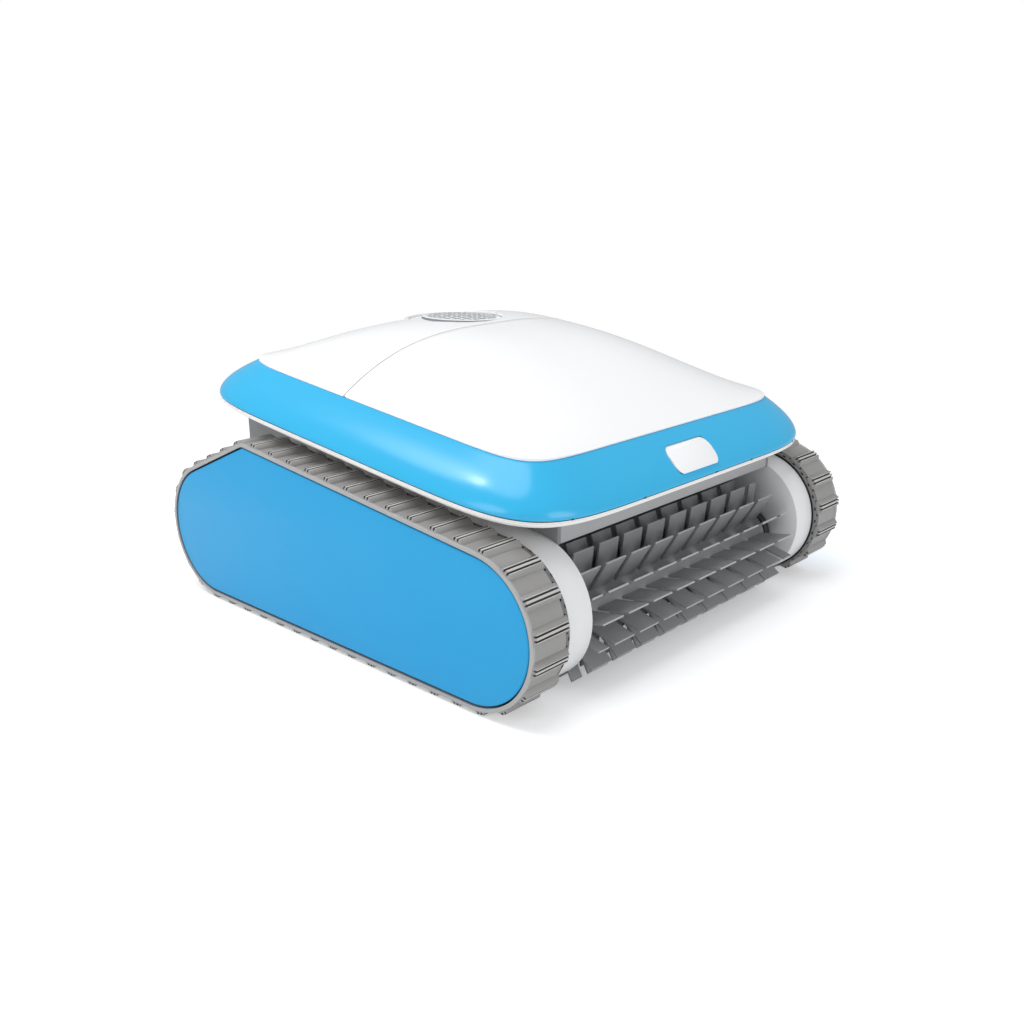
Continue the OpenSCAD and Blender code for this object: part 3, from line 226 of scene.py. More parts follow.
def stack(name, rings, closed=False):
    """A wall through stacked rings: a circle that is extruded from ring to ring and placed."""
    bpy.ops.object.select_all(action="DESELECT")
    bpy.ops.mesh.primitive_circle_add(vertices=len(rings[0]), radius=1)
    piece = bpy.context.object
    piece.name = name
    for corner, place in zip(piece.data.vertices, rings[0]):
        corner.co = place
    bpy.ops.object.mode_set(mode="EDIT")
    bpy.ops.mesh.select_all(action="SELECT")
    for last, ring in zip(rings, rings[1:] + ([rings[0]] if closed else [])):
        finder = KDTree(len(last))
        for i, place in enumerate(last):
            finder.insert(place, i)
        finder.balance()
        bpy.ops.mesh.extrude_edges_move()
        mesh = bmesh.from_edit_mesh(piece.data)
        for corner in mesh.verts:
            if corner.select:
                corner.co = ring[finder.find(corner.co)[1]]
        bmesh.update_edit_mesh(piece.data)
    bpy.ops.mesh.select_all(action="SELECT")
    bpy.ops.mesh.remove_doubles(threshold=0.01 * mm)
    outwards()
    return piece


def modify(piece, kind, **settings):
    """Adds a modifier with its settings and applies it."""
    only(piece)
    modifier = piece.modifiers.new(kind.lower(), kind)
    for key, value in settings.items():
        setattr(modifier, key, value)
    bpy.ops.object.modifier_apply(modifier=modifier.name)


def soften(piece, width, angle=34, segments=2):
    """Rounds the sharp edges of a moulding and shades the rest smooth."""
    modify(piece, "BEVEL", width=width, segments=segments, limit_method="ANGLE",
           angle_limit=math.radians(angle), use_clamp_overlap=True, harden_normals=False)
    only(piece)
    bpy.ops.object.shade_smooth_by_angle(angle=math.radians(angle))


def flat_plate(name, outline, depth):
    """A flat outline of places, extruded by the vector depth into a plate."""
    bpy.ops.object.select_all(action="DESELECT")
    bpy.ops.mesh.primitive_circle_add(vertices=len(outline), radius=1, fill_type="NGON")
    piece = bpy.context.object
    piece.name = name
    for corner, place in zip(piece.data.vertices, outline):
        corner.co = place
    bpy.ops.object.mode_set(mode="EDIT")
    bpy.ops.mesh.select_all(action="SELECT")
    bpy.ops.mesh.extrude_region_move(TRANSFORM_OT_translate={"value": depth})
    outwards()
    return piece


def cut(piece, tool):
    """Takes the tool's solid out of the piece."""
    modify(piece, "BOOLEAN", operation="DIFFERENCE", object=tool, solver="EXACT")
    bpy.data.objects.remove(tool)


def moulded(name, colour, roughness, grain_mm=0.5, grain=0.06, mottle=0.03, gloss=0.5, sheen=0.0):
    """A moulded plastic or rubber: cloudy colour, fine spark-eroded grain and uneven gloss."""
    cloud_mm, darker, paler, uneven = 60, 2.2, 0.004, 0.12
    material = bpy.data.materials.new(name)
    out = blank(material)
    place = add_node(material, "ShaderNodeTexCoord").outputs["Object"]
    cloud = add_node(material, "ShaderNodeTexNoise",
                     inputs={"Vector": place, "Scale": 1 / (cloud_mm * mm), "Detail": 3.0})
    base = linear(colour)
    deep = [c * (1 - darker * mottle) for c in base[:3]] + [1]
    pale = [min(c * (1 + mottle) + paler, 1) for c in base[:3]] + [1]
    tint = add_node(material, "ShaderNodeMix", {"data_type": "RGBA"},
                    {0: cloud.outputs["Fac"], 6: deep, 7: pale})
    speck = add_node(material, "ShaderNodeTexNoise",
                     inputs={"Vector": place, "Scale": 1 / (grain_mm * mm), "Detail": 2.0,
                             "Roughness": 0.6})
    dull = add_node(material, "ShaderNodeMapRange",
                    inputs={0: speck.outputs["Fac"], 1: 0.3, 2: 0.7,
                            3: roughness * (1 - uneven), 4: roughness * (1 + uneven)})
    bump = add_node(material, "ShaderNodeBump",
                    inputs={"Height": speck.outputs["Fac"], "Strength": grain, "Distance": 0.1 * mm})
    skin = add_node(material, "ShaderNodeBsdfPrincipled",
                    inputs={"Base Color": tint.outputs[2], "Roughness": dull.outputs[0],
                            "Normal": bump.outputs[0], "IOR": 1.5, "Specular IOR Level": gloss,
                            "Sheen Weight": sheen})
    material.node_tree.links.new(skin.outputs[0], out.inputs["Surface"])
    return material


def finish(piece, material, body, slot, *nodes):
    """Gives a new piece its material and body, and hides the solids that it stands for. The slot is not
    used.
    """
    piece.data.materials.clear()
    piece.data.materials.append(material)
    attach(piece, body)
    if nodes:
        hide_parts(*nodes)


# Gloss-moulded ABS, sky blue: a clear reflection over an even colour
blue_abs = moulded("blue_abs", "#32B5E6", 0.21, grain=0.01, mottle=0.008)

BAND_T = 3 * mm
LEVELS = 22
heights = [BAND_H * i / LEVELS for i in range(LEVELS + 1)]
rings = [band_ring(w) for w in heights] + [band_ring(w, BAND_T) for w in heights[::-2]]
blue_band = stack("blue_band", rings, closed=True)

# The button's hole, a rounded rectangle cut straight through the front
BUTTON_W, BUTTON_H, BUTTON_R, BUTTON_GAP = 50 * mm, 14 * mm, 5.5 * mm, 0.6 * mm
BUTTON_AT = 13.1 * mm
FRONT_V = -172.6 * mm


def rounded(width, height, radius, steps=8):
    """Corners of a rounded rectangle about the middle."""
    points = []
    for k, (i, j) in enumerate([(1, 1), (-1, 1), (-1, -1), (1, -1)]):
        for step in range(steps + 1):
            a = math.radians(90 * k + 90 * step / steps)
            points.append((i * (width / 2 - radius) + radius * math.cos(a),
                           j * (height / 2 - radius) + radius * math.sin(a)))
    return points


hole = rounded(BUTTON_W + 2 * BUTTON_GAP, BUTTON_H + 2 * BUTTON_GAP, BUTTON_R + BUTTON_GAP)
along = canopy(0, 1, 0) - canopy(0, 0, 0)
HOLE_REACH = 20 * mm
hole_tool = flat_plate("hole_tool", [canopy(x, FRONT_V - HOLE_REACH, BUTTON_AT + w) for x, w in hole],
                       along * 2 * HOLE_REACH)
cut(blue_band, hole_tool)
soften(blue_band, 0.5 * mm, angle=40)
finish(blue_band, blue_abs, "hull", "blue_shell", "canopy_band")

# ------------------------------------------------------------------ base rim
# The white frame under the band, moulded in satin ABS. Its outer edge stands out as a thin
# white lip, stepped in below, and its middle is open over the filter and the pump.

# Satin moulding gives an even pale surface with no clear reflection
white_satin = moulded("white_satin_abs", "#FAF8F5", 0.42, grain=0.05)

RIM_T = 6.5 * mm
OPENING_X = 112 * mm
OPENING_FRONT, OPENING_REAR = -132 * mm, 158 * mm


def opening_ring(w):
    """The rectangular opening, with its points in line with those of the outline."""
    points = []
    for t in TURNS:
        x, v = oval(CANOPY_A, CANOPY_B, LOW_V, SQUARE_LOW, t)
        end = OPENING_REAR if v > 0 else -OPENING_FRONT
        reach = min(OPENING_X / max(abs(x), 1e-6), end / max(abs(v), 1e-6))
        points.append(canopy(x * reach, v * reach, w))
    return points


def rim_ring(w, inset):
    """Points round the rim's outer edge."""
    a, b = CANOPY_A - inset, CANOPY_B - inset
    return [canopy(*oval(a, b, LOW_V, SQUARE_LOW, t), w) for t in TURNS]


# The lip's section from the band down: height and how far it lies in, in mm, with two grooves
LIP = [(0, 1.3), (-0.6, 1.3), (-0.7, 0.3), (-1.5, 0.1), (-1.7, 0.8), (-1.9, 0.1), (-3.3, 0.3),
       (-3.7, 0.8), (-3.8, 4.5), (-6.5, 4.8)]
rings = [rim_ring(w * mm, inset * mm) for w, inset in LIP] + [opening_ring(-RIM_T), opening_ring(0)]
white_rim = stack("white_rim", rings, closed=True)
soften(white_rim, 0.12 * mm)
finish(white_rim, white_satin, "hull", "rim_white", "base_rim")
# The groove under the band is too narrow for light to reach its bottom
GAP_LOW, GAP_HIGH = -0.68 * mm, -0.02 * mm
black_gap = moulded("shadowed_gap", "#26282B", 0.8)
white_rim.data.materials.append(black_gap)
for face in white_rim.data.polygons:
    w = (face.center.z - JOINT_Z) * math.cos(TILT) - face.center.y * math.sin(TILT)
    if GAP_LOW < w < GAP_HIGH:
        face.material_index = 1

# Small drain slots in the joint between the rim and the band, three along the front and one
# near each front corner, drawn as shallow dark notches whose dark is painted shade.
SLOT_PLACES = [-65, 0, 65, -134, 134]
SLOT_SHAPE = [(-0.9, -0.6), (0.9, -0.6), (0.9, 0.5), (-0.9, 0.5)]
SLOT_PROUD, SLOT_DEPTH = 0.12 * mm, 1.5 * mm
for i, x in enumerate(SLOT_PLACES):
    front = [turn for turn in TURNS if math.sin(turn) <= 0]
    t = min(front, key=lambda turn: abs(oval(CANOPY_A, CANOPY_B, LOW_V, SQUARE_LOW, turn)[0] - x * mm))
    px, pv = oval(CANOPY_A, CANOPY_B, LOW_V, SQUARE_LOW, t)
    notch = flat_plate(f"drain_notch_{i}", [canopy(px + dx * mm, pv - SLOT_PROUD, w * mm)
                                            for dx, w in SLOT_SHAPE], along * SLOT_DEPTH)
    finish(notch, black_gap, "hull", "seal_rubber")

# ------------------------------------------------------------------ lid and rear cover
# Two white gloss-moulded ABS covers that make one domed top, 2.5 mm thick with a thin outer
# edge on the band. The lid swings up at the seam, and the rear cover is fixed.

# Gloss moulding gives broad clear highlights over plain white
white_gloss = moulded("white_gloss_abs", "#FAFAFA", 0.22, grain=0.015, mottle=0.008)

LID_GAP, LID_EDGE, LID_T = 0.3 * mm, 0.8 * mm, 2.5 * mm
LID_W = BAND_H + LID_GAP
DOME_BASE = LID_W + LID_EDGE
DOME_H = 37 * mm
PEAK_V, SEAM_V, SEAM_GAP = 6 * mm, 22.5 * mm, 0.8 * mm
SEAM_CUT = 3.1 * mm
# Rows of faces round a cover's end, where the outline turns from END_TURN down by END_SWEEP
# degrees, then rows on to the seam, and columns across
END_ROWS, PLAIN_ROWS, COLUMNS = 22, 26, 80
END_TURN, END_SWEEP = 86, 66


def dome(x, v):
    """Height of the domed top above the joint line."""
    if v < PEAK_V:
        fall = ((PEAK_V - v) / (PEAK_V - HIGH_V + LID_B)) ** 2
    else:
        fall = ((v - PEAK_V) / (HIGH_V + LID_B - PEAK_V)) ** 3
    return DOME_BASE + DOME_H * (1 - min(abs(x) / LID_A, 1) ** 3) * (1 - fall)


def half_width(v):
    """Half width of the lid at v."""
    return LID_A * max(1 - (abs(v - HIGH_V) / LID_B) ** SQUARE_HIGH, 0) ** (1 / SQUARE_HIGH)


def dome_cover(name, end, seam, seam_cut):
    """A domed cover between the outline's end, -1 at the front or 1 at the rear, and the seam."""
    tips = [math.sin(math.radians(END_TURN - END_SWEEP * i / END_ROWS)) ** (2 / SQUARE_HIGH)
            for i in range(END_ROWS + 1)]
    edge = HIGH_V + end * LID_B * tips[-1]
    rows = [HIGH_V + end * LID_B * e for e in tips]
    rows += [edge + (seam - edge) * i / PLAIN_ROWS for i in range(1, PLAIN_ROWS + 1)]
    across = [math.sin(math.radians(180 * i / COLUMNS - 90)) for i in range(COLUMNS + 1)]
    bpy.ops.object.select_all(action="DESELECT")
    bpy.ops.mesh.primitive_grid_add(x_subdivisions=COLUMNS, y_subdivisions=len(rows) - 1, size=2)
    cover = bpy.context.object
    cover.name = name
    for corner in cover.data.vertices:
        i = round((corner.co.x + 1) / 2 * COLUMNS)
        j = round((corner.co.y + 1) / 2 * (len(rows) - 1))
        x, v = half_width(rows[j]) * across[i], rows[j]
        corner.co = canopy(x, v, dome(x, v))
    bpy.ops.object.mode_set(mode="EDIT")
    bpy.ops.mesh.select_all(action="SELECT")
    bpy.ops.mesh.duplicate()
    mesh = bmesh.from_edit_mesh(cover.data)
    for corner in mesh.verts:
        if corner.select:
            y, z = corner.co.y, corner.co.z - JOINT_Z
            x, v = corner.co.x, y * math.cos(TILT) + z * math.sin(TILT)
            if abs(v - seam) < 0.01 * mm:
                v -= seam_cut
            corner.co = canopy(x, v, max(LID_W, dome(x, v) - LID_T))
    bpy.ops.mesh.select_all(action="DESELECT")
    bpy.ops.mesh.select_non_manifold()
    bpy.ops.mesh.bridge_edge_loops()
    outwards()
    return cover


white_lid = dome_cover("white_lid", -1, SEAM_V, SEAM_CUT)
soften(white_lid, 0.3 * mm, angle=30)
finish(white_lid, white_gloss, "lid", "white_shell", "front_lid")

# The rear cover has a round hole that the outlet grille fills
rear_shell = dome_cover("rear_shell", 1, SEAM_V + SEAM_GAP, 0)
low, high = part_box("outlet_grille")
grille_middle, grille_top = (low + high) / 2, high.z
GRILLE_GAP, TOOL_DEPTH = 0.4 * mm, 60 * mm
bpy.ops.object.select_all(action="DESELECT")
bpy.ops.mesh.primitive_cylinder_add(vertices=128, radius=(high.x - low.x) / 2 + GRILLE_GAP,
                                    depth=TOOL_DEPTH, location=grille_middle)
bpy.ops.object.transform_apply()
cut(rear_shell, bpy.context.object)
soften(rear_shell, 0.3 * mm, angle=30)
finish(rear_shell, white_gloss, "hull", "white_shell", "rear_cover")


def refined(node, name, width, angle=34, segments=2):
    """A copy of a solid's mesh, merged into clean faces and with its moulded edges rounded."""
    only(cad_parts[node])
    bpy.ops.object.duplicate()
    piece = bpy.context.object
    piece.name = name
    for key in [k for k in piece.keys() if k.startswith("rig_")]:
        del piece[key]
    piece.parent = None
    bpy.ops.object.mode_set(mode="EDIT")
    bpy.ops.mesh.select_all(action="SELECT")
    bpy.ops.mesh.remove_doubles(threshold=0.002 * mm)
    bpy.ops.mesh.dissolve_limited(angle_limit=math.radians(0.4))
    bpy.ops.object.mode_set(mode="OBJECT")
    soften(piece, width, angle, segments)
    return piece


def refine(nodes, width, material, body, slot, angle=34):
    """Refines each of these solids and gives it its finish."""
    for node in nodes:
        finish(refined(node, node + "_moulding", width, angle), material, body, slot, node)


# The grille is a white disc with a crowned top, a net of narrow slits and a hollow for a finger.
# The sides of its slits and the bottoms of its grooves are painted grey as shade.
slit_grey = moulded("shadowed_white_abs", "#85898D", 0.6, grain=0.05)
grille = refined("outlet_grille", "outlet_grille_moulding", 0.25 * mm, angle=50)
finish(grille, white_gloss, "hull", "white_shell", "outlet_grille")
grille.data.materials.append(slit_grey)
CROWN_R, NET_X, NET_R = 300 * mm, 10 * mm, 33.5 * mm
SUNK_MOST, SUNK_LEAST, WALL_TILT = 1.5 * mm, 0.6 * mm, 0.9
for face in grille.data.polygons:
    x, y = face.center.x - grille_middle.x, face.center.y - grille_middle.y
    crown = grille_top - CROWN_R + math.sqrt(CROWN_R ** 2 - x * x - y * y)
    sunk = crown - SUNK_MOST < face.center.z < crown - SUNK_LEAST
    # Faces in the net's slits and grooves take the painted shade
    if math.hypot(x - NET_X, y) < NET_R and (face.normal.z < WALL_TILT or sunk):
        face.material_index = 1

# The hinge arms and the catch are moulded with the lid, and their pins are turned from steel
refine(["lid_hinge", "lid_catch"], 0.4 * mm, white_gloss, "lid", "white_shell")

# ------------------------------------------------------------------ latch button
# A white gloss-moulded key in the front of the band. It is pressed in against a coil spring,
# and its stem holds the lid's catch.
button_key = refined("latch_button", "button_key", 1.1 * mm, angle=50, segments=3)
finish(button_key, white_gloss, "button", "white_shell", "latch_button")

# Bright steel wire, wound cold: narrow highlights along the coils
steel = bpy.data.materials.new("stainless_steel")
out = blank(steel)
place = add_node(steel, "ShaderNodeTexCoord").outputs["Object"]
# Width and length of the marks that turning leaves
MARK_W, MARK_L = 0.3 * mm, 1 / 60
lathe = add_node(steel, "ShaderNodeMapping",
                 inputs={"Vector": place, "Scale": (1 / MARK_W, 1 / MARK_L, 1 / MARK_L)})
marks = add_node(steel, "ShaderNodeTexNoise",
                 inputs={"Vector": lathe.outputs[0], "Scale": 1.0, "Detail": 3.0})
wear = add_node(steel, "ShaderNodeMapRange", inputs={0: marks.outputs["Fac"], 3: 0.22, 4: 0.4})
lines = add_node(steel, "ShaderNodeBump",
                 inputs={"Height": marks.outputs["Fac"], "Strength": 0.08, "Distance": 0.05 * mm})
skin = add_node(steel, "ShaderNodeBsdfPrincipled",
                inputs={"Base Color": linear("#BDC1C6"), "Metallic": 1.0, "Roughness": wear.outputs[0],
                        "Normal": lines.outputs[0]})
steel.node_tree.links.new(skin.outputs[0], out.inputs["Surface"])

low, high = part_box("latch_spring")
COIL_TURNS, COIL_STEPS, WIRE_R = 6, 20, 0.45 * mm
coil_r = (high.x - low.x) / 2 - WIRE_R
# The coil starts behind the button's stem and ends at the latch housing
STEM_L, SPRING_GAP = 35 * mm, 0.2 * mm
coil_start = FRONT_V + STEM_L + SPRING_GAP
coil_length = 11.6 * mm
bpy.ops.object.select_all(action="DESELECT")
bpy.ops.mesh.primitive_circle_add(vertices=10, radius=WIRE_R, location=(coil_r, 0, 0),
                                  rotation=(math.pi / 2, 0, 0))
coil = bpy.context.object
coil.name = "button_spring"
bpy.ops.object.transform_apply()
modify(coil, "SCREW", axis="Z", angle=2 * math.pi * COIL_TURNS, screw_offset=coil_length - 2 * WIRE_R,
       steps=COIL_STEPS * COIL_TURNS, render_steps=COIL_STEPS * COIL_TURNS, use_smooth_shade=True)
for corner in coil.data.vertices:
    x, y, z = corner.co
    corner.co = canopy(x, coil_start + WIRE_R + z, BUTTON_AT + y)
bpy.ops.object.mode_set(mode="EDIT")
bpy.ops.mesh.select_all(action="DESELECT")
bpy.ops.mesh.select_non_manifold()
bpy.ops.mesh.edge_face_add()
outwards()
finish(coil, steel, "hull", "steel", "latch_spring")
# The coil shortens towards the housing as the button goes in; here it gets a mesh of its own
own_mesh(coil)

# ------------------------------------------------------------------ side covers
# The blue side plates, satin-moulded ABS with a rounded outer edge. Three posts on the inside
# of each are screwed to the side frame.

# Satin moulding gives a soft sheen, duller than the band's gloss
blue_satin = moulded("blue_satin_abs", "#2CA3DA", 0.34, grain=0.01, mottle=0.006, gloss=0.22)

# The side's outline in Y and Z: round ends about the wheels, and one upper corner
FRONT_WHEEL = Vector((-140.3 * mm, 55.8 * mm))
REAR_WHEEL = Vector((140.8 * mm, 55.8 * mm))
END_R = 49.5 * mm
CORNER = Vector((91.5 * mm, 131.7 * mm))
COVER_T, COVER_CORNER_R = 3 * mm, 3 * mm
# The plate stops this far short of the belt's own track, so a dark line shows round it
COVER_GAP = 0.4 * mm
POST_R, POST_PLACES = 5 * mm, [(-70.15, 59.8), (20, 94.8), (64.77, 39.8)]
# Depth of the side frame's tray, from its outer edge to the wall that the posts stand on
TRAY_DEPTH = 21 * mm


def ray(degrees):
    """Direction at an angle from +Y towards +Z."""
    return Vector((math.cos(math.radians(degrees)), math.sin(math.radians(degrees))))


def upper_normal(wheel, sign):
    """Direction square to the straight upper side between a wheel's end and the corner."""
    way = CORNER - wheel
    return math.degrees(math.atan2(way.y, way.x)) + sign * math.degrees(math.acos(END_R / way.length))


TOP_NORMAL = upper_normal(FRONT_WHEEL, 1)
REAR_NORMAL = upper_normal(REAR_WHEEL, -1)


def corner_middle(gap, radius):
    """Centre of the rounded upper corner of the outline grown by gap."""
    back = (radius - gap) / math.cos(math.radians((TOP_NORMAL - REAR_NORMAL) / 2))
    return CORNER - back * ray((TOP_NORMAL + REAR_NORMAL) / 2)


def side_outline(gap, radius, step=3):
    """Points in Y and Z round the side outline grown by gap."""
    points = []
    arcs = [(REAR_WHEEL, END_R + gap, -90, REAR_NORMAL),
            (corner_middle(gap, radius), radius, REAR_NORMAL, TOP_NORMAL),
            (FRONT_WHEEL, END_R + gap, TOP_NORMAL, 270)]
    for middle, r, start, stop in arcs:
        count = max(4, math.ceil((stop - start) / step))
        points += [middle + r * ray(start + (stop - start) * i / count) for i in range(count + 1)]
    return points


for side, name in ((-1, "left"), (1, "right")):
    low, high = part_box(name + "_side_cover")
    outer = max(abs(low.x), abs(high.x))
    outline = side_outline(-COVER_GAP, COVER_CORNER_R - COVER_GAP)
    cover = flat_plate(name + "_cover_plate", [(side * outer, p.x, p.y) for p in outline],
                       (-side * COVER_T, 0, 0))
    soften(cover, 0.9 * mm, segments=3)
    finish(cover, blue_satin, "hull", "blue_shell", name + "_side_cover")
    # The posts, round bars down to the side frame
    low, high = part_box(name + "_side_frame")
    post_start, post_end = outer - COVER_T, max(abs(low.x), abs(high.x)) - TRAY_DEPTH
    for k, (y, z) in enumerate(POST_PLACES):
        bpy.ops.object.select_all(action="DESELECT")
        place = (side * (post_start + post_end) / 2, y * mm, z * mm)
        bpy.ops.mesh.primitive_cylinder_add(vertices=40, radius=POST_R, depth=post_start - post_end,
                                            location=place, rotation=(0, math.pi / 2, 0))
        post = bpy.context.object
        post.name = f"{name}_cover_post_{k}"
        bpy.ops.object.transform_apply()
        soften(post, 0.4 * mm)
        finish(post, blue_satin, "hull", "blue_shell")

# ------------------------------------------------------------------ track belts
# The rubber belts, moulded in grey elastomer as closed loops. Each has a bevelled inner edge
# with two rows of small square pores, a lip along its outer edge, and ridges with sloping
# sides and three ribs along their tops.

# Moulded rubber is dull, with a coarse grain and a faint broad sheen
grey_rubber = moulded("grey_belt_rubber", "#9B9997", 0.42, grain_mm=0.7, grain=0.1, mottle=0.04)
# The pores in near black, painted shade in their hollows
pore_shade_rubber = moulded("painted_shade_pore_rubber", "#333333", 0.8)
# The same rubber painted paler on the ribs' crests, a painted highlight, and darker in the grooves,
# painted shade
crest_highlight_rubber = moulded("painted_highlight_belt_rubber", "#C6C4C1", 0.4, grain_mm=0.7, grain=0.1, mottle=0.04)
groove_shade_rubber = moulded("painted_shade_groove_rubber", "#5A5957", 0.6, grain_mm=0.7, grain=0.1, mottle=0.06)
# The inner bevel in darker rubber, painted shade under the canopy
bevel_shade_rubber = moulded("painted_shade_bevel_rubber", "#737170", 0.55, grain_mm=0.7, grain=0.15, mottle=0.06)
# The outer lip in paler rubber, a painted highlight along the belt's edge
lip_highlight_rubber = moulded("painted_highlight_lip_rubber", "#AFADAB", 0.42, grain_mm=0.7, grain=0.1, mottle=0.04)

BELT_T, LUG_H, BELT_GAP = 2 * mm, 3.5 * mm, 0.8 * mm
LUG_COUNT, LUG_START = 43, 12.8 * mm
STATIONS = 8 * LUG_COUNT
belt_r = END_R + BELT_GAP + BELT_T
corner_r = 14 * mm
corner_c = corner_middle(BELT_GAP + BELT_T, corner_r)
arc_rear = belt_r * math.radians(REAR_NORMAL + 90)
arc_corner = corner_r * math.radians(TOP_NORMAL - REAR_NORMAL)
arc_front = belt_r * math.radians(270 - TOP_NORMAL)
rear_end = REAR_WHEEL + belt_r * ray(REAR_NORMAL)
top_start = corner_c + corner_r * ray(TOP_NORMAL)
line_rear = (corner_c + corner_r * ray(REAR_NORMAL) - rear_end).length
line_top = (FRONT_WHEEL + belt_r * ray(TOP_NORMAL) - top_start).length
# Stretches of the belt's outer face: length, start angle, and centre and radius or start point
STRETCHES = [
    (REAR_WHEEL.x - FRONT_WHEEL.x, -90, None, FRONT_WHEEL - Vector((0, belt_r))),
    (arc_rear, -90, belt_r, REAR_WHEEL),
    (line_rear, REAR_NORMAL, None, rear_end),
    (arc_corner, REAR_NORMAL, corner_r, corner_c),
    (line_top, TOP_NORMAL, None, top_start),
    (arc_front, TOP_NORMAL, belt_r, FRONT_WHEEL),
]
BELT_LENGTH = sum(s[0] for s in STRETCHES)


def on_belt(way):
    """Place and outward angle on the belt's outer face at a length along it."""
    way %= BELT_LENGTH
    for length, angle, radius, start in STRETCHES:
        if way <= length:
            if radius:
                turned = angle + math.degrees(way / radius)
                return start + radius * ray(turned), turned
            return start + way * ray(angle + 90), angle
        way -= length
    return on_belt(0)


def joined(name, pieces):
    """Joins pieces into one and turns its faces outwards."""
    only(*pieces)
    bpy.ops.object.join()
    piece = bpy.context.object
    piece.name = name
    bpy.ops.object.mode_set(mode="EDIT")
    outwards()
    return piece


def tread_profile():
    """Side view of a ridge in mm: u along the belt and h above its face."""
    foot, top, high, sunk = 5.2, 2.6, LUG_H / mm, 1.2
    rib, groove, deep = 1.6, 1.3, 1.9
    slope, lower = 0.2, 0.1
    half = [(rib / 2, high), (rib / 2 + slope, high - deep), (rib / 2 + groove - slope, high - deep),
            (rib / 2 + groove, high - lower), (top, high - lower), (foot, 0), (foot, -sunk)]
    return [(-u, h) for u, h in reversed(half)] + half


# Across the belt in mm, from its inner edge to its outer one: distance from the machine's middle
# and height over the face
belt_in, belt_out = 154.0, 190.0
SECTION = [(belt_in, -1.5), (belt_in + 0.3, -1.2), (belt_in + 2.3, -0.85), (belt_in + 2.6, -0.75),
           (belt_in + 4.6, -0.4), (belt_in + 5.2, 0), (belt_out - 2.3, 0), (belt_out - 1.7, 0.7),
           (belt_out - 0.3, 0.7), (belt_out, 0.4), (belt_out, -2.0), (belt_in, -2.0)]
PORE_ROWS = [(belt_in + 0.3, belt_in + 2.3), (belt_in + 2.6, belt_in + 4.6)]
PORE_STEP, PORE_INSET, PORE_DEPTH = 4, 0.08 * mm, 0.9 * mm
BEVEL_END, LIP_START = belt_in + 5.2, belt_out - 2
TREAD_IN, TREAD_OUT = belt_in + 3.4, belt_out - 0.3
# How far each end of a tread leans per height
LEAN_IN, LEAN_OUT = 0.4, -0.3
# In mm, a tread's plain foot ends at FOOT_H, its crests in painted highlight start at CREST_H, and its
# grooves in painted shade lie within GROOVE_HALF. Faces that lean past END_TILT are its plain ends.
FOOT_H, CREST_H, GROOVE_HALF, END_TILT = 0.4, 3, 2.4, 0.9

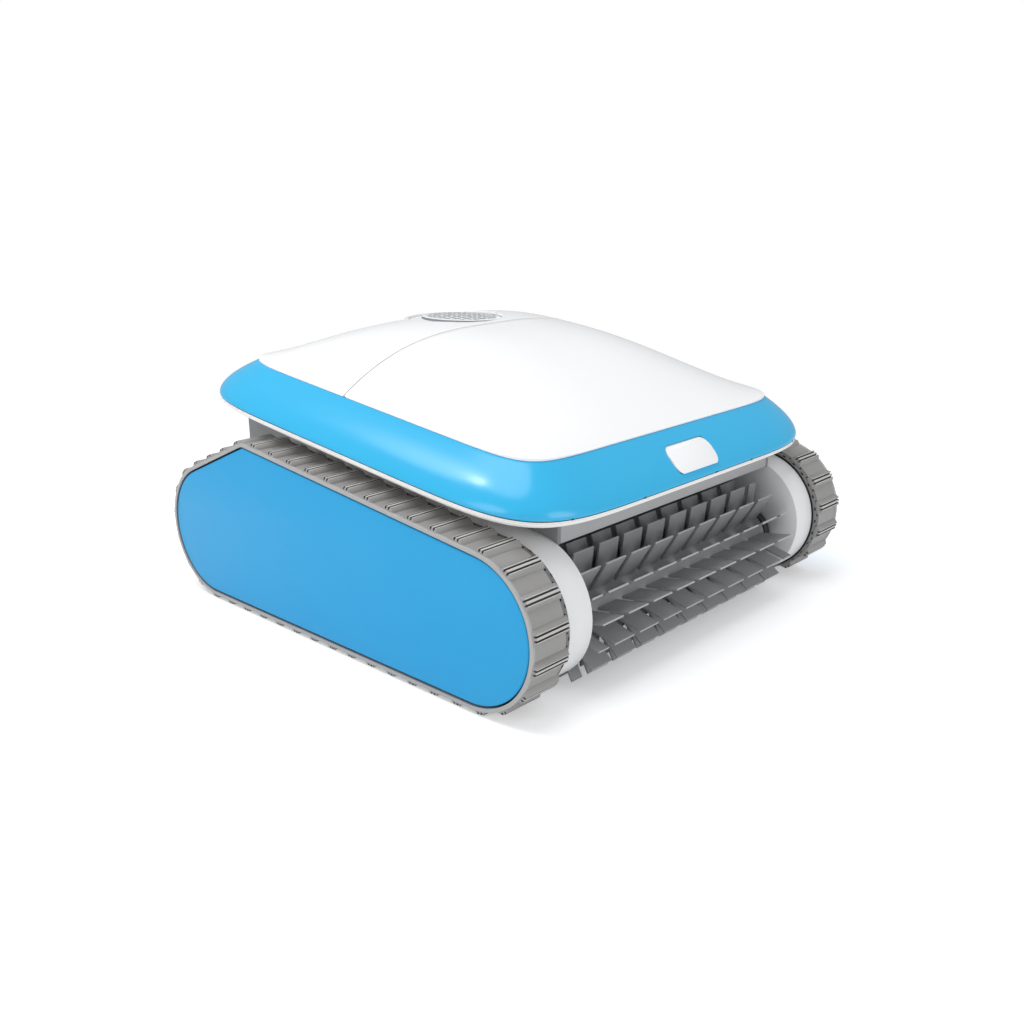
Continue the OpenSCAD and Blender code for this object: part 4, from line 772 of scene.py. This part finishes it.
for side, name in ((-1, "left"), (1, "right")):
    stations = [on_belt(BELT_LENGTH * (i + 0.5) / STATIONS) for i in range(STATIONS)]
    rings = [[Vector((side * x * mm, *(place + h * mm * ray(angle)))) for place, angle in stations]
             for x, h in SECTION]
    belt = stack(name + "_belt", rings, closed=True)
    # Every fourth face of each row on the bevel is inset and pressed in as a pore
    finder = KDTree(STATIONS)
    for i in range(STATIONS):
        place, angle = on_belt(BELT_LENGTH * (i + 1) / STATIONS)
        finder.insert((0, place.x, place.y), i)
    finder.balance()
    for material in (grey_rubber, pore_shade_rubber, bevel_shade_rubber, lip_highlight_rubber):
        belt.data.materials.append(material)
    bpy.ops.object.mode_set(mode="EDIT")
    bpy.ops.mesh.select_all(action="DESELECT")
    bpy.ops.mesh.select_mode(type="FACE")
    mesh = bmesh.from_edit_mesh(belt.data)
    near = 0.01 * mm
    for face in mesh.faces:
        middle = face.calc_center_median()
        # Bevel faces take the painted shade, and lip faces the painted highlight
        if not BEVEL_END * mm < abs(middle.x) < LIP_START * mm:
            face.material_index = 2 if abs(middle.x) < BEVEL_END * mm else 3
        reach = [abs(corner.co.x) for corner in face.verts]
        for row, (x0, x1) in enumerate(PORE_ROWS):
            if x0 * mm - near < min(reach) and max(reach) < x1 * mm + near:
                index = finder.find((0, middle.y, middle.z))[1]
                face.select = index % PORE_STEP == 2 * row
    bmesh.update_edit_mesh(belt.data)
    bpy.ops.mesh.inset(thickness=PORE_INSET, use_individual=True)
    # The inset pores take the near black of their painted shade
    bpy.context.object.active_material_index = 1
    bpy.ops.object.material_slot_assign()
    bpy.ops.mesh.extrude_faces_move(TRANSFORM_OT_shrink_fatten={"value": -PORE_DEPTH})
    bpy.ops.mesh.select_mode(type="VERT")
    bpy.ops.object.mode_set(mode="OBJECT")
    only(belt)
    bpy.ops.object.shade_smooth_by_angle(angle=math.radians(25))

    # One tread is modelled at the bottom of its own plane, and the rest are copies round the belt
    tread = flat_plate("tread", [(side * TREAD_IN * mm, u * mm, h * mm) for u, h in tread_profile()],
                       (side * (TREAD_OUT - TREAD_IN) * mm, 0, 0))
    for corner in tread.data.vertices:
        lean = LEAN_IN if abs(corner.co.x) < (TREAD_IN + TREAD_OUT) / 2 * mm else LEAN_OUT
        corner.co.x += side * lean * max(corner.co.z, 0)
    soften(tread, 0.14 * mm, angle=30, segments=1)
    for material in (grey_rubber, crest_highlight_rubber, groove_shade_rubber):
        tread.data.materials.append(material)
    # Crest faces take the painted highlight and groove faces the painted shade
    for face in tread.data.polygons:
        y, z = abs(face.center.y) / mm, face.center.z / mm
        if abs(face.normal.x) < END_TILT and z > FOOT_H:
            face.material_index = 1 if z > CREST_H else 2 if y < GROOVE_HALF else 0
    copies = []
    for i in range(LUG_COUNT):
        place, angle = on_belt(LUG_START + i * BELT_LENGTH / LUG_COUNT)
        lead, out_way = ray(angle - 90), ray(angle)
        only(tread)
        bpy.ops.object.duplicate()
        copy = bpy.context.object
        for corner in copy.data.vertices:
            spot = place + corner.co.y * lead + corner.co.z * out_way
            corner.co = (corner.co.x, spot.x, spot.y)
        copies.append(copy)
    bpy.data.objects.remove(tread)
    treads = joined(name + "_treads", copies)
    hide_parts(name + "_track")
    for piece in (belt, treads):
        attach(piece, "hull")

# ------------------------------------------------------------------ side frames
# The light grey side frames, moulded in polypropylene as deep trays. They carry the wheels
# and close the brush tunnel, and their rounded fronts show between the belts and the brush.

# Moulded polypropylene has a waxy, half-dull surface
frame_grey = moulded("light_grey_pp", "#EAEAEA", 0.4, grain=0.05, mottle=0.02)
refine(["left_side_frame", "right_side_frame"], 0.8 * mm, frame_grey, "hull", "hull_grey")

# ------------------------------------------------------------------ hull
# The grey tub under the canopy, moulded in polypropylene with the brush tunnel in its front
# and the suction slot in its floor. The frame under the lid and the latch house are alike.

# The same waxy surface in darker greys, darkest on the walls, painted shade under the canopy
tub_grey = moulded("mid_grey_pp", "#A9AAAB", 0.5, grain=0.08, mottle=0.03)
wall_shade_grey = moulded("shaded_grey_pp", "#7E7F81", 0.5, grain=0.08, mottle=0.03)
refine(["brush_tunnel", "hull_floor"], 0.6 * mm, tub_grey, "hull", "hull_grey")
refine(["hull_sides", "hull_back"], 0.6 * mm, wall_shade_grey, "hull", "hull_grey")
refine(["top_frame", "latch_housing", "hinge_bracket", "outlet_duct"], 0.4 * mm, frame_grey,
       "hull", "hull_grey")

# ------------------------------------------------------------------ brush
# A tube of soft grey PVC on a nylon core, with fifteen combs of stiff flat blades. Every
# second comb is shifted by half a blade, and each blade tapers to its tip.

# Soft PVC is dull, with a faint sheen at grazing angles
brush_pvc = moulded("grey_brush_pvc", "#959697", 0.5, grain_mm=0.8, grain=0.08, mottle=0.06, sheen=0.1)

low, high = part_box("brush_core")
brush_middle = (low + high) / 2
low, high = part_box("brush_sleeve")
tip_r, sleeve_r, core_r = 43.4 * mm, 17 * mm, 15 * mm
chamfer, clearance, end_gap = 0.5 * mm, 0.03 * mm, 0.5 * mm
half_l = high.x - end_gap
COMBS, BLADES, BLADE_GAP = 15, 9, 6 * mm
# Angle of the first comb from +Y towards +Z
FIRST_COMB = 74
BLADE_T, BLADE_SUNK, BLADE_BOW, TIP_HIGHLIGHT_DEPTH = 1.9 * mm, 1 * mm, 0.9 * mm, 0.4 * mm
BLADE_TAPER, BLADE_CUTS = 0.3, (0.12, 0.45, 0.8)
half_tube = [(half_l - chamfer, sleeve_r), (half_l, sleeve_r - chamfer), (half_l, core_r + clearance)]
around = 72
turns = [2 * math.pi * i / around for i in range(around)]
tube = [[Vector((x, brush_middle.y + r * math.cos(a), brush_middle.z + r * math.sin(a))) for a in turns]
        for x, r in [(-x, r) for x, r in reversed(half_tube)] + half_tube]
brush_tube = stack("brush_tube", tube, closed=True)
soften(brush_tube, 0.2 * mm, angle=50)
finish(brush_tube, brush_pvc, "brush", "brush_pvc")


def blade(width, middle):
    """One blade: a cube drawn out from the tube, cut across, tapered and rounded."""
    root, tip = sleeve_r - BLADE_SUNK, tip_r
    bpy.ops.object.select_all(action="DESELECT")
    bpy.ops.mesh.primitive_cube_add(size=1)
    piece = bpy.context.object
    for corner in piece.data.vertices:
        corner.co = (middle + corner.co.x * width, root + (corner.co.y + 0.5) * (tip - root),
                     corner.co.z * BLADE_T)
    bpy.ops.object.mode_set(mode="EDIT")
    for share in BLADE_CUTS:
        bpy.ops.mesh.select_all(action="SELECT")
        bpy.ops.mesh.bisect(plane_co=(0, root + share * (tip - root), 0), plane_no=(0, 1, 0))
    bpy.ops.object.mode_set(mode="OBJECT")
    for corner in piece.data.vertices:
        share = (corner.co.y - root) / (tip - root)
        corner.co.z = corner.co.z * (1 - BLADE_TAPER * share) + BLADE_BOW * (share * (1 - share))
    soften(piece, 0.22 * mm, angle=40, segments=1)
    return piece


pitch = 2 * half_l / BLADES
full = pitch - BLADE_GAP
even_row = [(full, -half_l + (k + 0.5) * pitch) for k in range(BLADES)]
end_w = pitch / 2 - BLADE_GAP / 2
odd_row = [(full, -half_l + k * pitch) for k in range(1, BLADES)]
odd_row += [(end_w, -half_l + end_w / 2), (end_w, half_l - end_w / 2)]
combs = [joined("comb", [blade(width, middle) for width, middle in row]) for row in (even_row, odd_row)]
copies = []
for i in range(COMBS):
    only(combs[i % 2])
    bpy.ops.object.duplicate()
    comb = bpy.context.object
    lead = ray(FIRST_COMB + 360 * i / COMBS)
    flat = Vector((-lead.y, lead.x))
    for corner in comb.data.vertices:
        spot = corner.co.y * lead + corner.co.z * flat
        corner.co = (corner.co.x, brush_middle.y + spot.x, brush_middle.z + spot.y)
    copies.append(comb)
for comb in combs:
    bpy.data.objects.remove(comb)
brush_blades = joined("brush_blades", copies)
finish(brush_blades, brush_pvc, "brush", "brush_pvc", "brush_sleeve")
# The ends of the blades are painted paler, a painted highlight along their tips
tip_highlight_pvc = moulded("painted_highlight_brush_pvc", "#B4B5B6", 0.5, grain_mm=0.8, grain=0.08, mottle=0.06)
brush_blades.data.materials.append(tip_highlight_pvc)
for face in brush_blades.data.polygons:
    if math.hypot(face.center.y - brush_middle.y, face.center.z - brush_middle.z) > tip_r - TIP_HIGHLIGHT_DEPTH:
        face.material_index = 1

# ------------------------------------------------------------------ wheels, brush core and ends
# Dark parts moulded in glass-filled nylon, matt with a coarse grain, and hidden by the belts
# and the covers.
dark_nylon = moulded("dark_nylon", "#3B3E42", 0.55, grain=0.15, mottle=0.08)


def paint(nodes, material):
    """Gives solids that stay in view their material."""
    for node in nodes:
        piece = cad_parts[node]
        if not piece.data.materials:
            piece.data.materials.append(material)
        for entry in piece.material_slots:
            entry.material = material


paint(["left_drive_wheel", "right_drive_wheel", "left_front_wheel", "right_front_wheel",
       "left_top_idler", "right_top_idler", "brush_core", "left_brush_end", "right_brush_end"],
      dark_nylon)

# ------------------------------------------------------------------ shafts, pins, screws and motors
# Shafts, pins and screws turned from stainless steel, with fine marks from the lathe, and the
# plated cans of the motors, which look alike.
paint(["left_drive_shaft", "right_drive_shaft", "front_axles", "idler_pins", "axle_clips",
       "hinge_pin", "flap_pin", "impeller_shaft", "side_screws", "rim_screws", "band_screws",
       "lid_screws", "pump_motor", "drive_motors"], steel)

# Bushes turned from white acetal, smooth and a little glossy
acetal = moulded("white_acetal", "#ECEBE6", 0.35)
paint(["bushes"], acetal)

# ------------------------------------------------------------------ filter
# The basket that lifts out under the lid: a frame moulded in tinted polypropylene, smooth and
# a little glossy, round a wall of fine woven mesh.
basket_blue = moulded("tinted_pp", "#8FB6CF", 0.35, grain=0.04)
refine(["filter_basket", "basket_floor"], 0.5 * mm, basket_blue, "hull", "basket_plastic")

# Plain-woven polyester, dull, and drawn with 2 mm between threads so that it shows
THREAD_GAP = 2 * mm
# The phase in radians that a wave texture gains per metre at a scale of 1
WAVE_PHASE = 20
mesh_cloth = bpy.data.materials.new("woven_mesh")
out = blank(mesh_cloth)
place = add_node(mesh_cloth, "ShaderNodeTexCoord").outputs["Object"]
weave = None
for axis in ("X", "Y", "Z"):
    wave = add_node(mesh_cloth, "ShaderNodeTexWave", {"wave_type": "BANDS", "bands_direction": axis},
                    {"Vector": place, "Scale": 2 * math.pi / (WAVE_PHASE * THREAD_GAP)})
    threads = wave.outputs["Fac"]
    if weave is None:
        weave = threads
    else:
        weave = add_node(mesh_cloth, "ShaderNodeMath", {"operation": "MAXIMUM"},
                         {0: weave, 1: threads}).outputs[0]
shade = add_node(mesh_cloth, "ShaderNodeMix", {"data_type": "RGBA"},
                 {0: weave, 6: linear("#AEBBC4"), 7: linear("#EDF2F5")})
bump = add_node(mesh_cloth, "ShaderNodeBump",
                inputs={"Height": weave, "Strength": 0.4, "Distance": 0.3 * mm})
skin = add_node(mesh_cloth, "ShaderNodeBsdfPrincipled",
                inputs={"Base Color": shade.outputs[2], "Roughness": 0.75, "Normal": bump.outputs[0]})
mesh_cloth.node_tree.links.new(skin.outputs[0], out.inputs["Surface"])
paint(["filter_mesh"], mesh_cloth)

# ------------------------------------------------------------------ pump, box and seals
# The sealed motor box and cable gland, moulded in dark half-dull polypropylene, with seals and a
# flap of soft black nitrile. The impeller is moulded nylon, and the floats are cut from foam.
dark_pp = moulded("dark_grey_pp", "#34373B", 0.5, grain=0.1)
refine(["motor_box", "motor_box_lid", "cable_gland"], 0.6 * mm, dark_pp, "hull", "box_plastic")
# Nitrile is matt black, the impeller's nylon half-glossy, the floats' foam coarse and quite dull,
# and the board's lacquer glossy
nitrile = moulded("black_nitrile", "#1F1F20", 0.7)
paint(["inlet_flap", "motor_box_gasket", "shaft_seals"], nitrile)
blue_nylon = moulded("blue_nylon", "#4AA4D6", 0.4)
paint(["impeller"], blue_nylon)
foam = moulded("closed_cell_foam", "#F2F2EE", 0.9, grain_mm=1.2, grain=0.3, mottle=0.03)
paint(["float_blocks"], foam)
lacquer = moulded("green_board_lacquer", "#2F7D4F", 0.3)
paint(["control_board"], lacquer)
